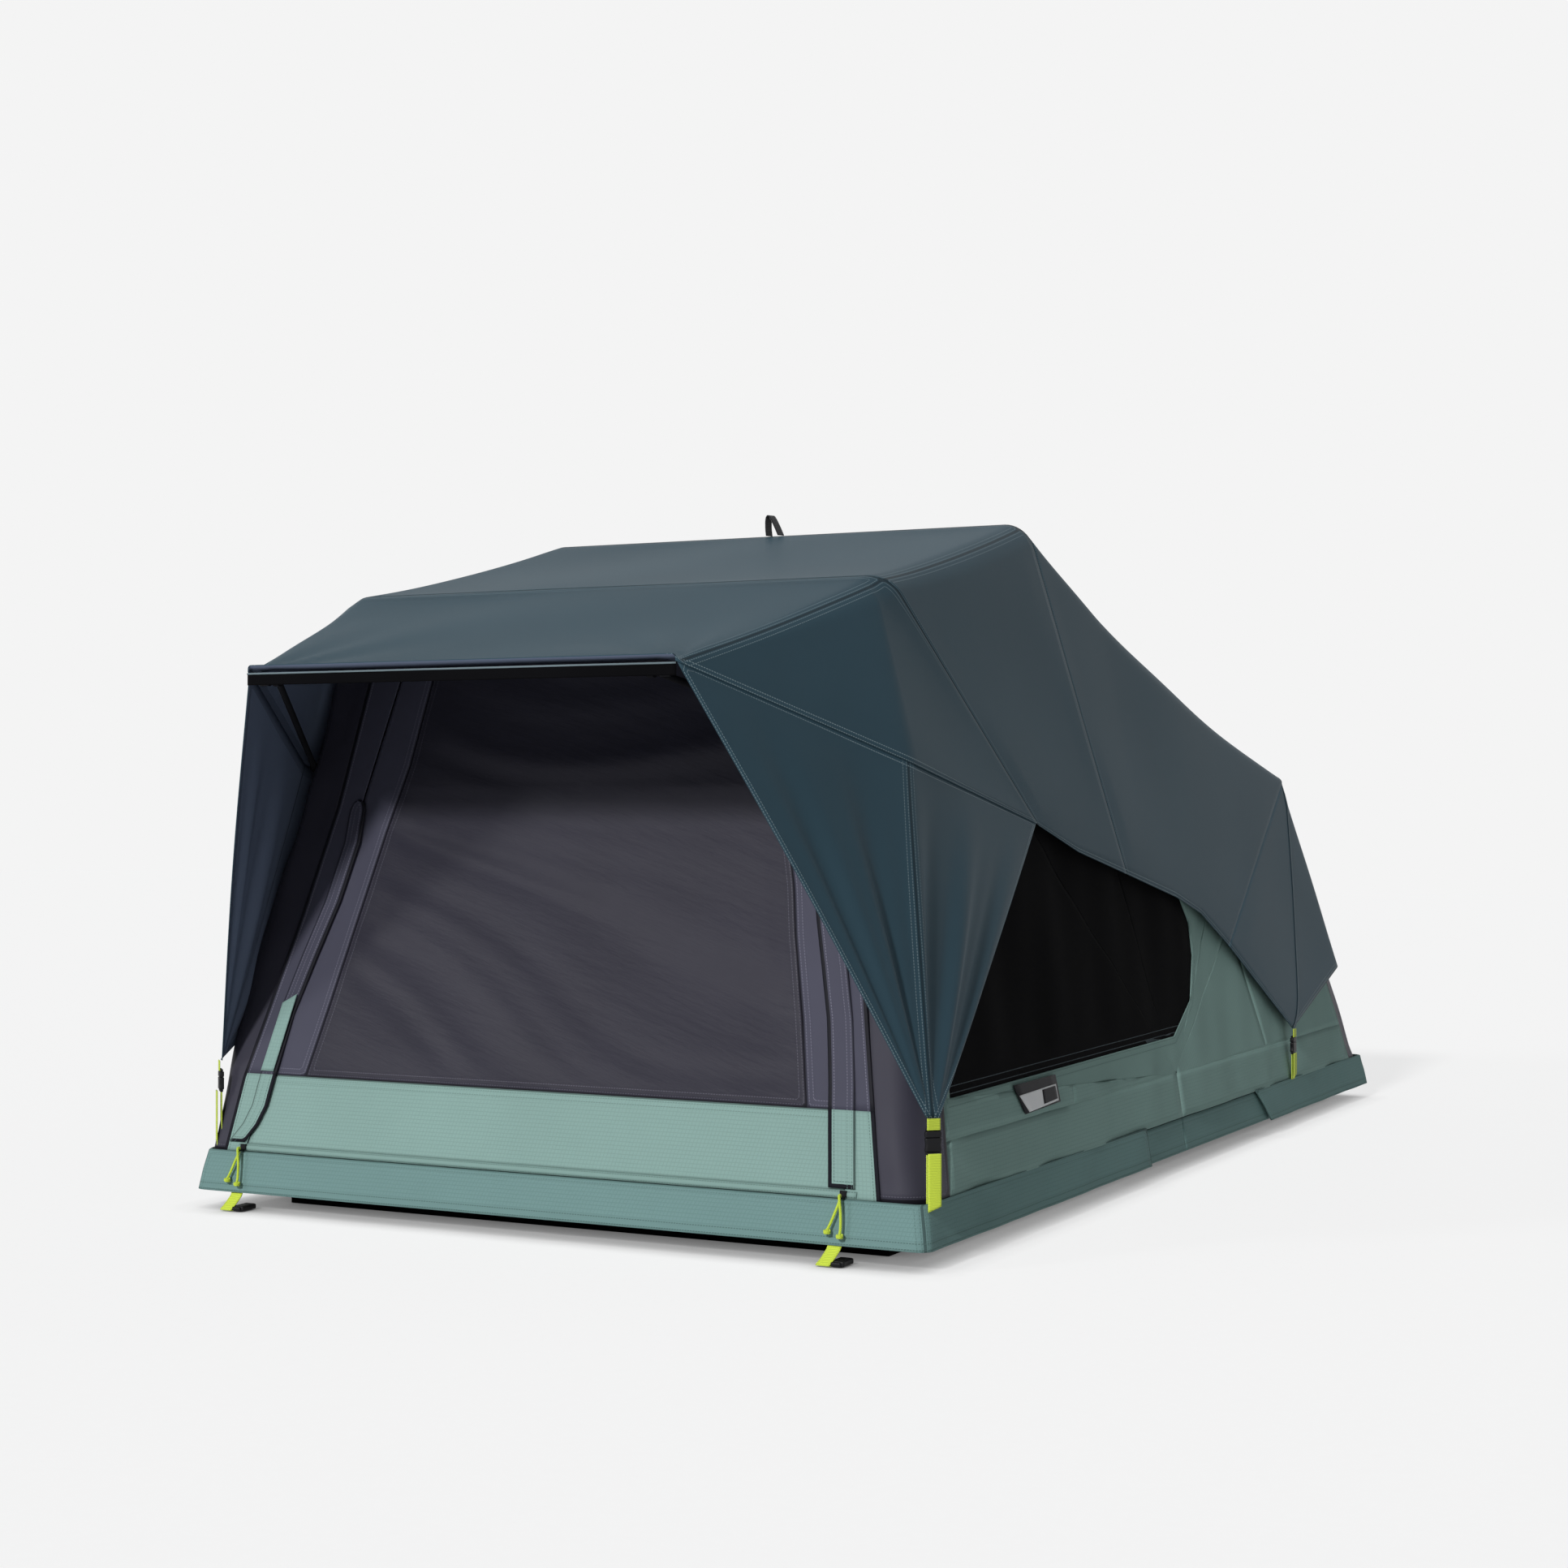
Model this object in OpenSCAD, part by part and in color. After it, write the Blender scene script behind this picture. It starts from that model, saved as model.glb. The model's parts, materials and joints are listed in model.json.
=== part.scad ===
// Two-person roof top tent: a hinged base in two halves, three hoops that fan out from its hinge,
// an inner tent, and a fly sheet with an awning over the door. Millimetres, +Z up, front towards -Y.

/* [Base] */
// Width over the skirt
base_width = 1300; // [1280:5:1330]
// Length over the skirt
base_length = 2400; // [2390:5:2430]
// From the skirt's front to the base hinge
front_half = 1150; // [1140:2:1160]
// Height of the base frames
frame_height = 34; // [32:1:38]
// Thickness of the floor boards
board_thickness = 12; // [9:1:15]
// Thickness of the mattress halves
mattress_thickness = 34; // [25:1:36]
// Height of the hinge axis above the floor boards
pivot_rise = 124; // [120:1:128]
// Gap under the skirt's hem
skirt_hem = 30; // [24:1:36]
// Height of the skirt
skirt_height = 62; // [58:1:66]

/* [Hoops] */
// Outside diameter of the hoop tubes
tube_diameter = 22; // [20:0.5:24]
// Wall of the hoop tubes
tube_wall = 1.5; // [1.2:0.1:2]
// Bend radius at the hoop corners
hoop_bend = 50; // [45:1:60]
// Diameter of the hinge pins
pin_diameter = 12; // [10:0.5:13]

/* [Fly] */
// Front crest of the fly, behind the skirt's front
crest_back = 206; // [196:2:216]
// Height of the front crest
crest_height = 998; // [985:1:1010]
// Ridge of the fly, behind the skirt's front
ridge_back = 793; // [780:2:806]
// Height of the ridge
ridge_height = 1130; // [1115:1:1145]
// Rear hoop line of the fly, behind the skirt's front
rear_back = 2105; // [2095:1:2115]
// Height of the rear hoop line
rear_height = 711; // [703:1:719]
// Reach of the awning in front of the skirt
awning_reach = 215; // [200:1:230]
// Height of the awning's front edge
awning_height = 852; // [844:1:860]
// Half the width of the awning's front edge
awning_half = 369; // [360:1:380]
// Sag of the rear roof between its hoops
roof_sag = 37; // [25:1:45]
// Thickness of the fabrics
fabric = 1.5; // [1.2:0.1:1.8]

/* [Hardware] */
// Width of the webbing straps
strap_width = 20; // [16:1:24]
// Radius of the bolt holes in the mounting rails
bolt_hole = 4.25; // [3.25:0.25:5.25]
// Distance between the mounting rails
rail_spacing = 800; // [760:10:840]
// Distance between the bolt holes along a rail
bolt_spacing = 700; // [600:10:800]

/* [Hidden] */
$fn = 48;
half_width = base_width / 2;
origin_back = (base_length - awning_reach) / 2;
board_top = frame_height + board_thickness;
pivot = [front_half, board_top + pivot_rise];
skirt_top = skirt_hem + skirt_height;
wall_foot = skirt_top + 0.5;
gap = 0.5;
seam_gap = 1;

// Outer points of the fly in side view, as [back, up]
crest = [crest_back, crest_height];
ridge = [ridge_back, ridge_height];
rear = [rear_back, rear_height];
tail = [base_length - 110, 305];
edge_front = 620;
edge_ridge = 530;
edge_rear = 379;
edge_end = [1838, 195];
strut_seat_height = 714;

// Inner tent: lean of the side, front and rear walls
side_lean = 0.168;
front_lean = 0.196;
rear_lean = 0.4545;
front_foot = 20;
rear_foot = base_length - 34;
sleeve_width = 85;
sleeve_round = 55;

function lerp(a, b, t) = a + (b - a) * t;
function fly_x(z) = half_width - 8 - 0.183 * (min(z, crest_height) - 195) - 0.105 * max(0, z - crest_height);
function wall_x(z) = half_width - 28 - side_lean * (z - 195);
function front_y(z) = front_foot + front_lean * (z - 95);
function rear_y(z) = rear_foot - rear_lean * (z - 95);
// Point of the line from the hinge axis to a hoop, at a height
function on_hoop(top, z) = lerp(pivot, top, (z - pivot[1]) / (top[1] - pivot[1]));
function with_x(p) = [fly_x(p[1]), p[0], p[1]];
function reach(p) = norm(p - pivot);
function fan_angle(p) = atan2(p[1] - pivot[1], pivot[0] - p[0]);

// Corners of the wings of the fly
wing_front = [awning_half, -awning_reach, awning_height];
wing_seat = [half_width - 95, 161, strut_seat_height];
wing_back = with_x(on_hoop(crest, edge_front));
wing_foot = [half_width - 7, 35, 215];

// Sag of the awning and of the front roof
awning_sag = 5;
front_sag = 8;

// Awning bar: centre in side view
bar_radius = 7;
bar = [13 - awning_reach, awning_height - 9.5];

tube_radius = tube_diameter / 2;
tube_sides = 20;
eye_width = 20;
spigot_radius = (tube_radius - tube_wall) * cos(180 / tube_sides) - 0.1;
eye_radius = pin_diameter / 2 + 9;
bore_radius = pin_diameter / 2 + 0.05;
rear_eye_x = half_width - 60;
eye_pitch = tube_diameter + 5;
plate_thickness = 4;

// How far a hoop tube's centre lies inside the fly so that it clears the panels in front of and behind it
function roof_normal(d) = [-d[1], d[0]] / norm(d);
function hoop_inset(top, before, after) =
    let (out = (top - pivot) / norm(top - pivot))
    (tube_radius + fabric + gap) / min(out * roof_normal(before), out * roof_normal(after));
crest_inset = hoop_inset(crest, crest - [-awning_reach, awning_height] + [0, 4 * awning_sag],
    ridge - crest - [0, 4 * front_sag]);
ridge_inset = hoop_inset(ridge, ridge - crest + [0, 4 * front_sag], rear - ridge - [0, 4 * roof_sag]);
rear_inset = hoop_inset(rear, rear - ridge + [0, 4 * roof_sag], tail - rear);
front_plate_x = rear_eye_x + eye_width / 2 + 4.5;
rear_plate_x = front_plate_x + plate_thickness + 1;
flange_height = 4;

// The source is written from the skirt's front edge; the row's origin is under the middle.
module place() {
    translate([0, -origin_back, 0]) children();
}

module both_sides() {
    children();
    mirror([1, 0, 0]) children();
}

module rod(a, b, r) {
    d = b - a;
    translate(a)
        rotate([0, acos(d[2] / norm(d)), atan2(d[1], d[0])])
            cylinder(h = norm(d), r = r);
}

// Cloth of even thickness below a grid of points: rows run along the first index.
function grid_point(g, i, j) = g[max(0, min(len(g) - 1, i))][max(0, min(len(g[0]) - 1, j))];
function grid_normal(g, i, j) =
    let (
        a = grid_point(g, i + 1, j) - grid_point(g, i - 1, j),
        b = grid_point(g, i, j + 1) - grid_point(g, i, j - 1),
        c = cross(a, b)
    ) c / norm(c);

module cloth(g, thick = fabric) {
    n = len(g);
    m = len(g[0]);
    below = n * m;
    upper = [for (i = [0 : n - 1]) for (j = [0 : m - 1]) g[i][j]];
    lower = [for (i = [0 : n - 1]) for (j = [0 : m - 1]) g[i][j] - thick * grid_normal(g, i, j)];
    top_faces = [for (i = [0 : n - 2]) for (j = [0 : m - 2]) let (p = i * m + j)
        each [[p, p + 1, p + m + 1], [p, p + m + 1, p + m]]];
    low_faces = [for (i = [0 : n - 2]) for (j = [0 : m - 2]) let (p = below + i * m + j)
        each [[p, p + m, p + m + 1], [p, p + m + 1, p + 1]]];
    long_edges = [for (i = [0 : n - 2]) let (p = i * m, q = i * m + m - 1)
        each [[p, p + m, p + m + below], [p, p + m + below, p + below],
            [q + m, q, q + below], [q + m, q + below, q + m + below]]];
    short_edges = [for (j = [0 : m - 2]) let (p = j, q = (n - 1) * m + j)
        each [[p + 1, p, p + below], [p + 1, p + below, p + 1 + below],
            [q, q + 1, q + 1 + below], [q, q + 1 + below, q + below]]];
    polyhedron(
        points = concat(upper, lower),
        faces = concat(top_faces, low_faces, long_edges, short_edges),
        convexity = 8);
}

// One cross-section of the fly, from its right lower edge over the roof to its left lower edge
function fly_section(low, top, round) =
    let (
        length = norm(top - low),
        right = concat(
            [for (q = [0, 0.33, 0.66]) lerp(low, top, q * (1 - round / length))],
            [for (a = [0 : 22.5 : 90])
                lerp(low, top, 1 - round * (1 - sin(a)) / length) - [round * (1 - cos(a)), 0, 0]]),
        roof_half = top[0] - round,
        roof = [for (x = [0.6, 0.2, -0.2, -0.6]) [x * roof_half, top[1], top[2]]],
        count = len(right),
        left = [for (k = [1 : count]) [-right[count - k][0], right[count - k][1], right[count - k][2]]]
    ) concat(right, roof, left);

// Points of a run of straight lengths, at a share of its steps
function along(path, t) =
    let (s = t * (len(path) - 1), k = min(floor(s), len(path) - 2)) lerp(path[k], path[k + 1], s - k);

function sagged(a, b, sag, t) = lerp(a, b, t) - [0, 4 * sag * t * (1 - t)];

front_edge_path = [on_hoop(crest, edge_front), [799, 573], on_hoop(ridge, edge_ridge)];
rear_edge_path = [on_hoop(ridge, edge_ridge), [1140, 505], [1260, 481], [1383, 447], on_hoop(rear, edge_rear)];
wing_edge_path = [wing_front, wing_seat, wing_back];

module fly_run(edge, from, to, sag, steps, round) {
    trim = seam_gap / norm(to - from);
    cloth([for (k = [0 : steps])
        let (t = lerp(trim, 1 - trim, k / steps))
        fly_section(with_x(along(edge, t)), with_x(sagged(from, to, sag, t)), round)]);
}

// A bent tube through rings that each have a centre and a turn in the hoop's own plane
module bent_tube(rings, outer, inner) {
    count = len(rings);
    bore = count * tube_sides;
    points = [for (r = [outer, inner]) for (ring = rings) for (k = [0 : tube_sides - 1])
        let (a = k * 360 / tube_sides, turn = ring[1])
        ring[0] + r * [cos(turn) * cos(a), sin(a), sin(turn) * cos(a)]];
    walls = [for (i = [0 : count - 2]) for (k = [0 : tube_sides - 1])
        let (p = i * tube_sides + k, q = i * tube_sides + (k + 1) % tube_sides, up = tube_sides)
        each [[p, q + up, q], [p, p + up, q + up],
            [p + bore, q + bore, q + up + bore], [p + bore, q + up + bore, p + up + bore]]];
    ends = [for (k = [0 : tube_sides - 1])
        let (p = k, q = (k + 1) % tube_sides, far = (count - 1) * tube_sides)
        each [[p, q, q + bore], [p, q + bore, p + bore],
            [p + far, q + bore + far, q + far], [p + far, p + bore + far, q + bore + far]]];
    polyhedron(points = points, faces = concat(walls, ends), convexity = 8);
}

// Rings of a hoop in its own plane: up the right leg, round two bends, down the left leg
function hoop_rings(foot_x, top_x, height, start) =
    let (
        tilt = atan2(foot_x - top_x, height),
        bend_x = top_x - hoop_bend * tan((90 - tilt) / 2),
        bend_z = height - hoop_bend,
        foot = [foot_x - start * sin(tilt), 0, start * cos(tilt)],
        steps = 6
    )
    concat(
        [[foot, tilt]],
        [for (k = [0 : steps]) let (a = lerp(tilt, 90, k / steps))
            [[bend_x + hoop_bend * cos(a), 0, bend_z + hoop_bend * sin(a)], a]],
        [for (k = [0 : steps]) let (a = lerp(90, 180 - tilt, k / steps))
            [[-bend_x + hoop_bend * cos(a), 0, bend_z + hoop_bend * sin(a)], a]],
        [[[-foot[0], 0, foot[2]], 180 - tilt]]);

module fan(top) {
    place()
        translate([0, pivot[0], pivot[1]])
            rotate([90 - fan_angle(top), 0, 0])
                children();
}

module hoop(top, inset, foot_x) {
    top_x = fly_x(top[1]) - 28;
    height = reach(top) - inset;
    fan(top)
        bent_tube(hoop_rings(foot_x, top_x, height, eye_radius + 1.2), tube_radius, tube_radius - tube_wall);
}

// End eyes of a hoop: a bored boss on the hinge pin, with a spigot up the tube
module hoop_eyes(top, inset, foot_x) {
    top_x = fly_x(top[1]) - 28;
    height = reach(top) - inset;
    tilt = atan2(foot_x - top_x, height);
    fan(top)
        both_sides()
            difference() {
                union() {
                    translate([foot_x - eye_width / 2, 0, 0])
                        rotate([0, 90, 0])
                            cylinder(h = eye_width, r = eye_radius);
                    translate([foot_x, 0, 0])
                        rotate([0, -tilt, 0])
                            cylinder(h = eye_radius + 35, r = spigot_radius);
                }
                translate([foot_x - eye_width, 0, 0])
                    rotate([0, 90, 0])
                        cylinder(h = eye_width * 2, r = bore_radius);
            }
}

module front_hoop() {
    color("silver") hoop(crest, crest_inset, rear_eye_x - eye_pitch);
}

module front_hoop_eyes() {
    color("dimgray") hoop_eyes(crest, crest_inset, rear_eye_x - eye_pitch);
}

module ridge_hoop() {
    color("silver") hoop(ridge, ridge_inset, rear_eye_x - 2 * eye_pitch);
}

module ridge_hoop_eyes() {
    color("dimgray") hoop_eyes(ridge, ridge_inset, rear_eye_x - 2 * eye_pitch);
}

module rear_hoop() {
    color("silver") hoop(rear, rear_inset, rear_eye_x);
}

module rear_hoop_eyes() {
    color("dimgray") hoop_eyes(rear, rear_inset, rear_eye_x);
}

// A base half: channel frame with its open side inwards, set back under the floor board
frame_recess = 110;

module base_frame(y0, y1) {
    outer = half_width - frame_recess;
    flange = 30;
    wall = 3;
    place()
        difference() {
            translate([-outer, y0, 0])
                cube([2 * outer, y1 - y0, frame_height]);
            translate([-outer + flange, y0 + flange, -1])
                cube([2 * (outer - flange), y1 - y0 - 2 * flange, frame_height + 2]);
            translate([-outer + wall, y0 + wall, wall])
                cube([2 * (outer - wall), y1 - y0 - 2 * wall, frame_height - 2 * wall]);
        }
}

// A floor board: square at the hinge, rounded at its outer corners to lie inside the skirt
module floor_board(hinge_y, outer_y) {
    half = half_width - 20;
    outward = outer_y > hinge_y ? 1 : -1;
    right = concat(
        [[half, hinge_y]],
        [for (a = [0 : 15 : 90])
            [half - skirt_round * (1 - cos(a)), outer_y - outward * skirt_round * (1 - sin(a))]]);
    count = len(right);
    place()
        translate([0, 0, frame_height])
            linear_extrude(board_thickness)
                polygon(concat(right, [for (k = [1 : count]) [-right[count - k][0], right[count - k][1]]]));
}

// Foam with rounded corners in plan
module mattress(y0, y1) {
    half = half_width - 80;
    round = 30;
    place()
        translate([0, 0, board_top])
            linear_extrude(mattress_thickness)
                union() {
                    translate([-half + round, y0])
                        square([2 * (half - round), y1 - y0]);
                    translate([-half, y0 + round])
                        square([2 * half, y1 - y0 - 2 * round]);
                    for (x = [-half + round, half - round])
                        for (y = [y0 + round, y1 - round])
                            translate([x, y])
                                circle(r = round);
                }
}

// Upright plate from a floor board to the hinge axis, with a foot on the board
module hinge_plate(x, y0, y1) {
    foot_half = (y1 - y0) / 2;
    middle = (y0 + y1) / 2;
    difference() {
        union() {
            translate([x, 0, 0])
                rotate([90, 0, 90])
                    linear_extrude(plate_thickness)
                        polygon([[y0, board_top], [y1, board_top],
                            [pivot[0] + (y1 > pivot[0] ? 16 : 0), pivot[1]],
                            [pivot[0] - (y1 > pivot[0] ? 0 : 16), pivot[1]]]);
            translate([x, pivot[0], pivot[1]])
                rotate([0, 90, 0])
                    cylinder(h = plate_thickness, r = 16);
            translate([half_width - 78, middle - foot_half, board_top])
                cube([x + plate_thickness - half_width + 78, 2 * foot_half, flange_height]);
        }
        translate([x - 1, pivot[0], pivot[1]])
            rotate([0, 90, 0])
                cylinder(h = plate_thickness + 2, r = bore_radius);
    }
}

module rear_base_frame() {
    color("gray") base_frame(pivot[0] + 2, base_length - frame_recess);
}

module front_base_frame() {
    color("gray") base_frame(frame_recess, pivot[0] - 2);
}

module rear_floor_board() {
    color("darkgray") floor_board(pivot[0] + 1, base_length - skirt_inset(board_top) - fabric - gap);
}

module front_floor_board() {
    color("darkgray") floor_board(pivot[0] - 1, skirt_inset(board_top) + fabric + gap);
}

module rear_mattress() {
    color("dimgray") mattress(pivot[0] + 15, base_length - 60);
}

module front_mattress() {
    color("dimgray") mattress(45, pivot[0] - 5);
}

module rear_hinge_plates() {
    color("gray") place() both_sides() hinge_plate(rear_plate_x, pivot[0] + 15, pivot[0] + 90);
}

module front_hinge_plates() {
    color("gray") place() both_sides() hinge_plate(front_plate_x, pivot[0] - 90, pivot[0] - 15);
}

module hinge_pins() {
    inner = rear_eye_x - 2 * eye_pitch - eye_width / 2 - 1;
    outer = rear_plate_x + plate_thickness + 0.3;
    color("silver")
        place()
            both_sides()
                translate([0, pivot[0], pivot[1]])
                    rotate([0, 90, 0])
                        union() {
                            translate([0, 0, inner])
                                cylinder(h = outer - inner, r = pin_diameter / 2);
                            translate([0, 0, inner - 5])
                                cylinder(h = 5, r = pin_diameter / 2 + 4);
                            translate([0, 0, outer])
                                cylinder(h = 4, r = pin_diameter / 2 + 4);
                        }
}

// Two box rails under the rear half, with bolt holes in their lower walls for the roof bars
module mounting_rails() {
    y0 = pivot[0] + 2 + 30 + gap;
    y1 = base_length - frame_recess - 30 - gap;
    middle = (y0 + y1) / 2;
    rail_width = 44;
    web = 4;
    color("silver")
        place()
            both_sides()
                difference() {
                    translate([rail_spacing / 2 - rail_width / 2, y0, 0])
                        cube([rail_width, y1 - y0, frame_height]);
                    translate([rail_spacing / 2 - rail_width / 2 + web, y0 - 1, web])
                        cube([rail_width - 2 * web, y1 - y0 + 2, frame_height - 2 * web]);
                    for (y = [middle - bolt_spacing / 2, middle + bolt_spacing / 2])
                        translate([rail_spacing / 2, y, -1])
                            cylinder(h = web + 2, r = bolt_hole);
                }
}

strut_x = awning_half - 46;
cap_half = awning_half - 15;

module awning_bar() {
    color("silver")
        place()
            translate([-cap_half + 4, bar[0], bar[1]])
                rotate([0, 90, 0])
                    cylinder(h = 2 * cap_half - 8, r = bar_radius);
}

module awning_bar_caps() {
    color("dimgray")
        place()
            both_sides()
                translate([cap_half - 16, bar[0], bar[1]])
                    rotate([0, 90, 0])
                        difference() {
                            cylinder(h = 16, r = bar_radius + 3);
                            translate([0, 0, -1])
                                cylinder(h = 13.3, r = bar_radius + 0.1);
                        }
}

// Foot of the right strut, seated on the corner sleeve
strut_foot_radius = 8;
corner_centre = [wall_x(strut_seat_height) - sleeve_round, front_y(strut_seat_height) + sleeve_round];
seat_direction = [cos(33), -sin(33)];
strut_foot = [for (k = [0, 1]) corner_centre[k] + seat_direction[k] * (sleeve_round + strut_foot_radius + 0.7)];

module awning_strut() {
    foot = [strut_foot[0], strut_foot[1], strut_seat_height];
    top = [strut_x, bar[0], bar[1]];
    slope = (foot - top) / norm(foot - top);
    difference() {
        union() {
            rod(top + slope * 4, foot, 5);
            translate([strut_x - 5, bar[0], bar[1]])
                rotate([0, 90, 0])
                    cylinder(h = 10, r = bar_radius + 4);
            translate(foot)
                sphere(r = strut_foot_radius);
        }
        translate([strut_x - 20, bar[0], bar[1]])
            rotate([0, 90, 0])
                cylinder(h = 40, r = bar_radius + 0.05);
    }
}

module awning_strut_left() {
    color("dimgray") place() mirror([1, 0, 0]) awning_strut();
}

module awning_strut_right() {
    color("dimgray") place() awning_strut();
}

module fly_awning() {
    steps = 6;
    trim = seam_gap / norm(crest - [wing_front[1], wing_front[2]]);
    color("teal")
        place()
            cloth([for (k = [0 : steps])
                let (
                    t = lerp(0.02, 0.997, k / steps),
                    share = along([0, 0.93, 1 - trim], t / 0.997),
                    side = sagged([wing_front[1], wing_front[2]], crest, awning_sag, share),
                    top = [lerp(awning_half, fly_x(crest_height), share), side[0], side[1]]
                )
                fly_section(along(wing_edge_path, t) + [0, 0, 1.5], top, lerp(6, 40, share))]);
}

// A wing hangs from the awning's edge to its strap, with soft folds that run up and down it
fold_depth = 5;
fold_turn = 540;

module fly_wing() {
    steps = 12;
    cloth([for (k = [0 : steps])
        let (
            t = lerp(0.03, 0.995, k / steps),
            top = along(wing_edge_path, t) - [0, 0, 1.5],
            low = wing_foot + (t - 0.5) * strap_width * [cos(45), sin(45), 0]
        )
        [for (v = [0 : 0.125 : 1]) lerp(low, top, v) + [fold_depth * sin(fold_turn * t) * 4 * v * (1 - v), 0, 0]]]);
}

module fly_wing_left() {
    color("teal") place() mirror([1, 0, 0]) fly_wing();
}

module fly_wing_right() {
    color("teal") place() fly_wing();
}

module fly_front_roof() {
    color("teal") place() fly_run(front_edge_path, crest, ridge, front_sag, 4, 40);
}

module fly_rear_roof() {
    color("teal") place() fly_run(rear_edge_path, ridge, rear, roof_sag, 8, 40);
}

module fly_back() {
    color("teal") place() fly_run([on_hoop(rear, edge_rear), edge_end], rear, tail, 0, 4, 50);
}

// Flat walls of the inner tent, drawn in the plane of the wall and then leaned
function up_side(z) = (z - wall_foot) * sqrt(1 + side_lean * side_lean);
function up_front(z) = (z - wall_foot) * sqrt(1 + front_lean * front_lean);
function up_rear(z) = (z - wall_foot) * sqrt(1 + rear_lean * rear_lean);

module on_side(thick, out = 0) {
    translate([wall_x(wall_foot), 0, wall_foot])
        rotate([0, -atan(side_lean), 0])
            translate([out - thick, 0, 0])
                rotate([90, 0, 90])
                    linear_extrude(thick)
                        children();
}

module on_front(thick, out = 0) {
    translate([0, front_y(wall_foot), wall_foot])
        rotate([-atan(front_lean), 0, 0])
            translate([0, thick - out, 0])
                rotate([90, 0, 0])
                    linear_extrude(thick)
                        children();
}

module on_rear(thick) {
    translate([0, rear_y(wall_foot), wall_foot])
        rotate([atan(rear_lean), 0, 0])
            rotate([90, 0, 0])
                linear_extrude(thick)
                    children();
}

window_shape = [for (p = [[155, 228], [1170, 234], [1290, 290], [1342, 370], [1350, 430], [1300, 510],
    [720, 740], [262, 690]]) [p[0], up_side(p[1])]];

module side_wall() {
    front_top = crest_height - 48;
    rear_top = rear_height - 71;
    place()
        on_side(fabric)
            difference() {
                polygon([[front_y(wall_foot) + sleeve_width + gap, 0],
                    [front_y(front_top) + sleeve_width + gap, up_side(front_top)],
                    [ridge_back, up_side(ridge_height - 45)],
                    [rear_y(rear_top) - sleeve_width - gap, up_side(rear_top)],
                    [rear_y(wall_foot) - sleeve_width - gap, 0]]);
                polygon(window_shape);
            }
}

module window() {
    place()
        on_side(1, -fabric - gap)
            offset(delta = 12)
                polygon(window_shape);
}

module side_wall_left() {
    color("darkseagreen") mirror([1, 0, 0]) side_wall();
}

module side_wall_right() {
    color("darkseagreen") side_wall();
}

module window_left() {
    color("black") mirror([1, 0, 0]) window();
}

module window_right() {
    color("black") window();
}

// Half the width of the door opening at heights above the floor
door_foot = skirt_top + 13;
door_seam = 217;
door_head = crest_height - 73;
door_right = [for (p = [[120, door_foot], [155, door_seam], [204, 514], [287, 867], [310, door_head]])
    [half_width - p[0], p[1]]];

function door_outline(inset, from, to) =
    let (
        right = [for (p = door_right) if (p[1] >= from && p[1] <= to)
            [p[0] - inset, up_front(min(max(p[1], from + inset), to - inset))]],
        count = len(right)
    ) concat(right, [for (k = [1 : count]) [-right[count - k][0], right[count - k][1]]]);

module front_wall() {
    top = crest_height - 16;
    foot_half = wall_x(wall_foot) - sleeve_width - gap;
    top_half = wall_x(top) - sleeve_width - gap;
    color("dimgray")
        place()
            on_front(fabric)
                difference() {
                    polygon([[-foot_half, 0], [foot_half, 0], [top_half, up_front(top)], [-top_half, up_front(top)]]);
                    polygon(door_outline(0, door_foot, door_head));
                }
}

module door_panel() {
    color("black") place() on_front(fabric) polygon(door_outline(gap, door_seam, door_head));
}

module door_band() {
    color("darkseagreen") place() on_front(fabric) polygon(door_outline(gap, door_foot, door_seam));
}

// Flap over a door zip, sewn along its outer edge
module zip_flap() {
    flap_top = door_head - 45;
    inside = 14;
    outside = 26;
    lift = 6;
    inner = [for (p = door_right) if (p[1] < flap_top) [p[0] - inside, up_front(p[1] + lift)]];
    outer = [for (p = door_right) if (p[1] < flap_top) [p[0] + outside, up_front(p[1] + lift)]];
    count = len(inner);
    place()
        on_front(fabric, fabric + gap)
            polygon(concat(inner, [for (k = [1 : count]) outer[count - k]]));
}

module zip_flap_left() {
    color("dimgray") mirror([1, 0, 0]) zip_flap();
}

module zip_flap_right() {
    color("dimgray") zip_flap();
}

module flap_patch() {
    color("darkseagreen")
        place()
            on_front(0.6, fabric + gap + 0.6 + 0.3)
                polygon([for (p = [[164, 215], [140, 228], [154, 330], [180, 322]]) [p[0] - half_width, up_front(p[1])]]);
}

module rear_wall() {
    top = rear_height - 26;
    foot_half = wall_x(wall_foot) - sleeve_width - gap;
    top_half = wall_x(top) - sleeve_width - gap;
    color("dimgray")
        place()
            on_rear(fabric)
                polygon([[-foot_half, 0], [foot_half, 0], [top_half, up_rear(top)], [-top_half, up_rear(top)]]);
}

// Rounded corners of the inner tent
function front_corner(z) =
    let (x = wall_x(z), y = front_y(z), r = sleeve_round)
    concat(
        [[x, y + sleeve_width, z]],
        [for (a = [0 : 15 : 90]) [x - r + r * cos(a), y + r - r * sin(a), z]],
        [[x - sleeve_width, y, z]]);

function rear_corner(z) =
    let (x = wall_x(z), y = rear_y(z), r = sleeve_round)
    concat(
        [[x - sleeve_width, y, z]],
        [for (a = [90 : -15 : 0]) [x - r + r * cos(a), y - r + r * sin(a), z]],
        [[x, y - sleeve_width, z]]);

module front_corner_sleeves() {
    top = crest_height - 35;
    color("dimgray")
        place()
            both_sides()
                cloth([for (k = [0 : 4]) front_corner(lerp(wall_foot, top, k / 4))]);
}

module rear_corner_sleeves() {
    top = rear_height - 45;
    color("dimgray")
        place()
            both_sides()
                cloth([for (k = [0 : 4]) rear_corner(lerp(wall_foot, top, k / 4))]);
}

// Bare label hanging from the window's lower seam
module side_label() {
    color("black")
        place()
            on_side(1, 1.4)
                polygon([[419, up_side(177)], [569, up_side(181)], [564, up_side(222)], [388, up_side(222)]]);
}

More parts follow.
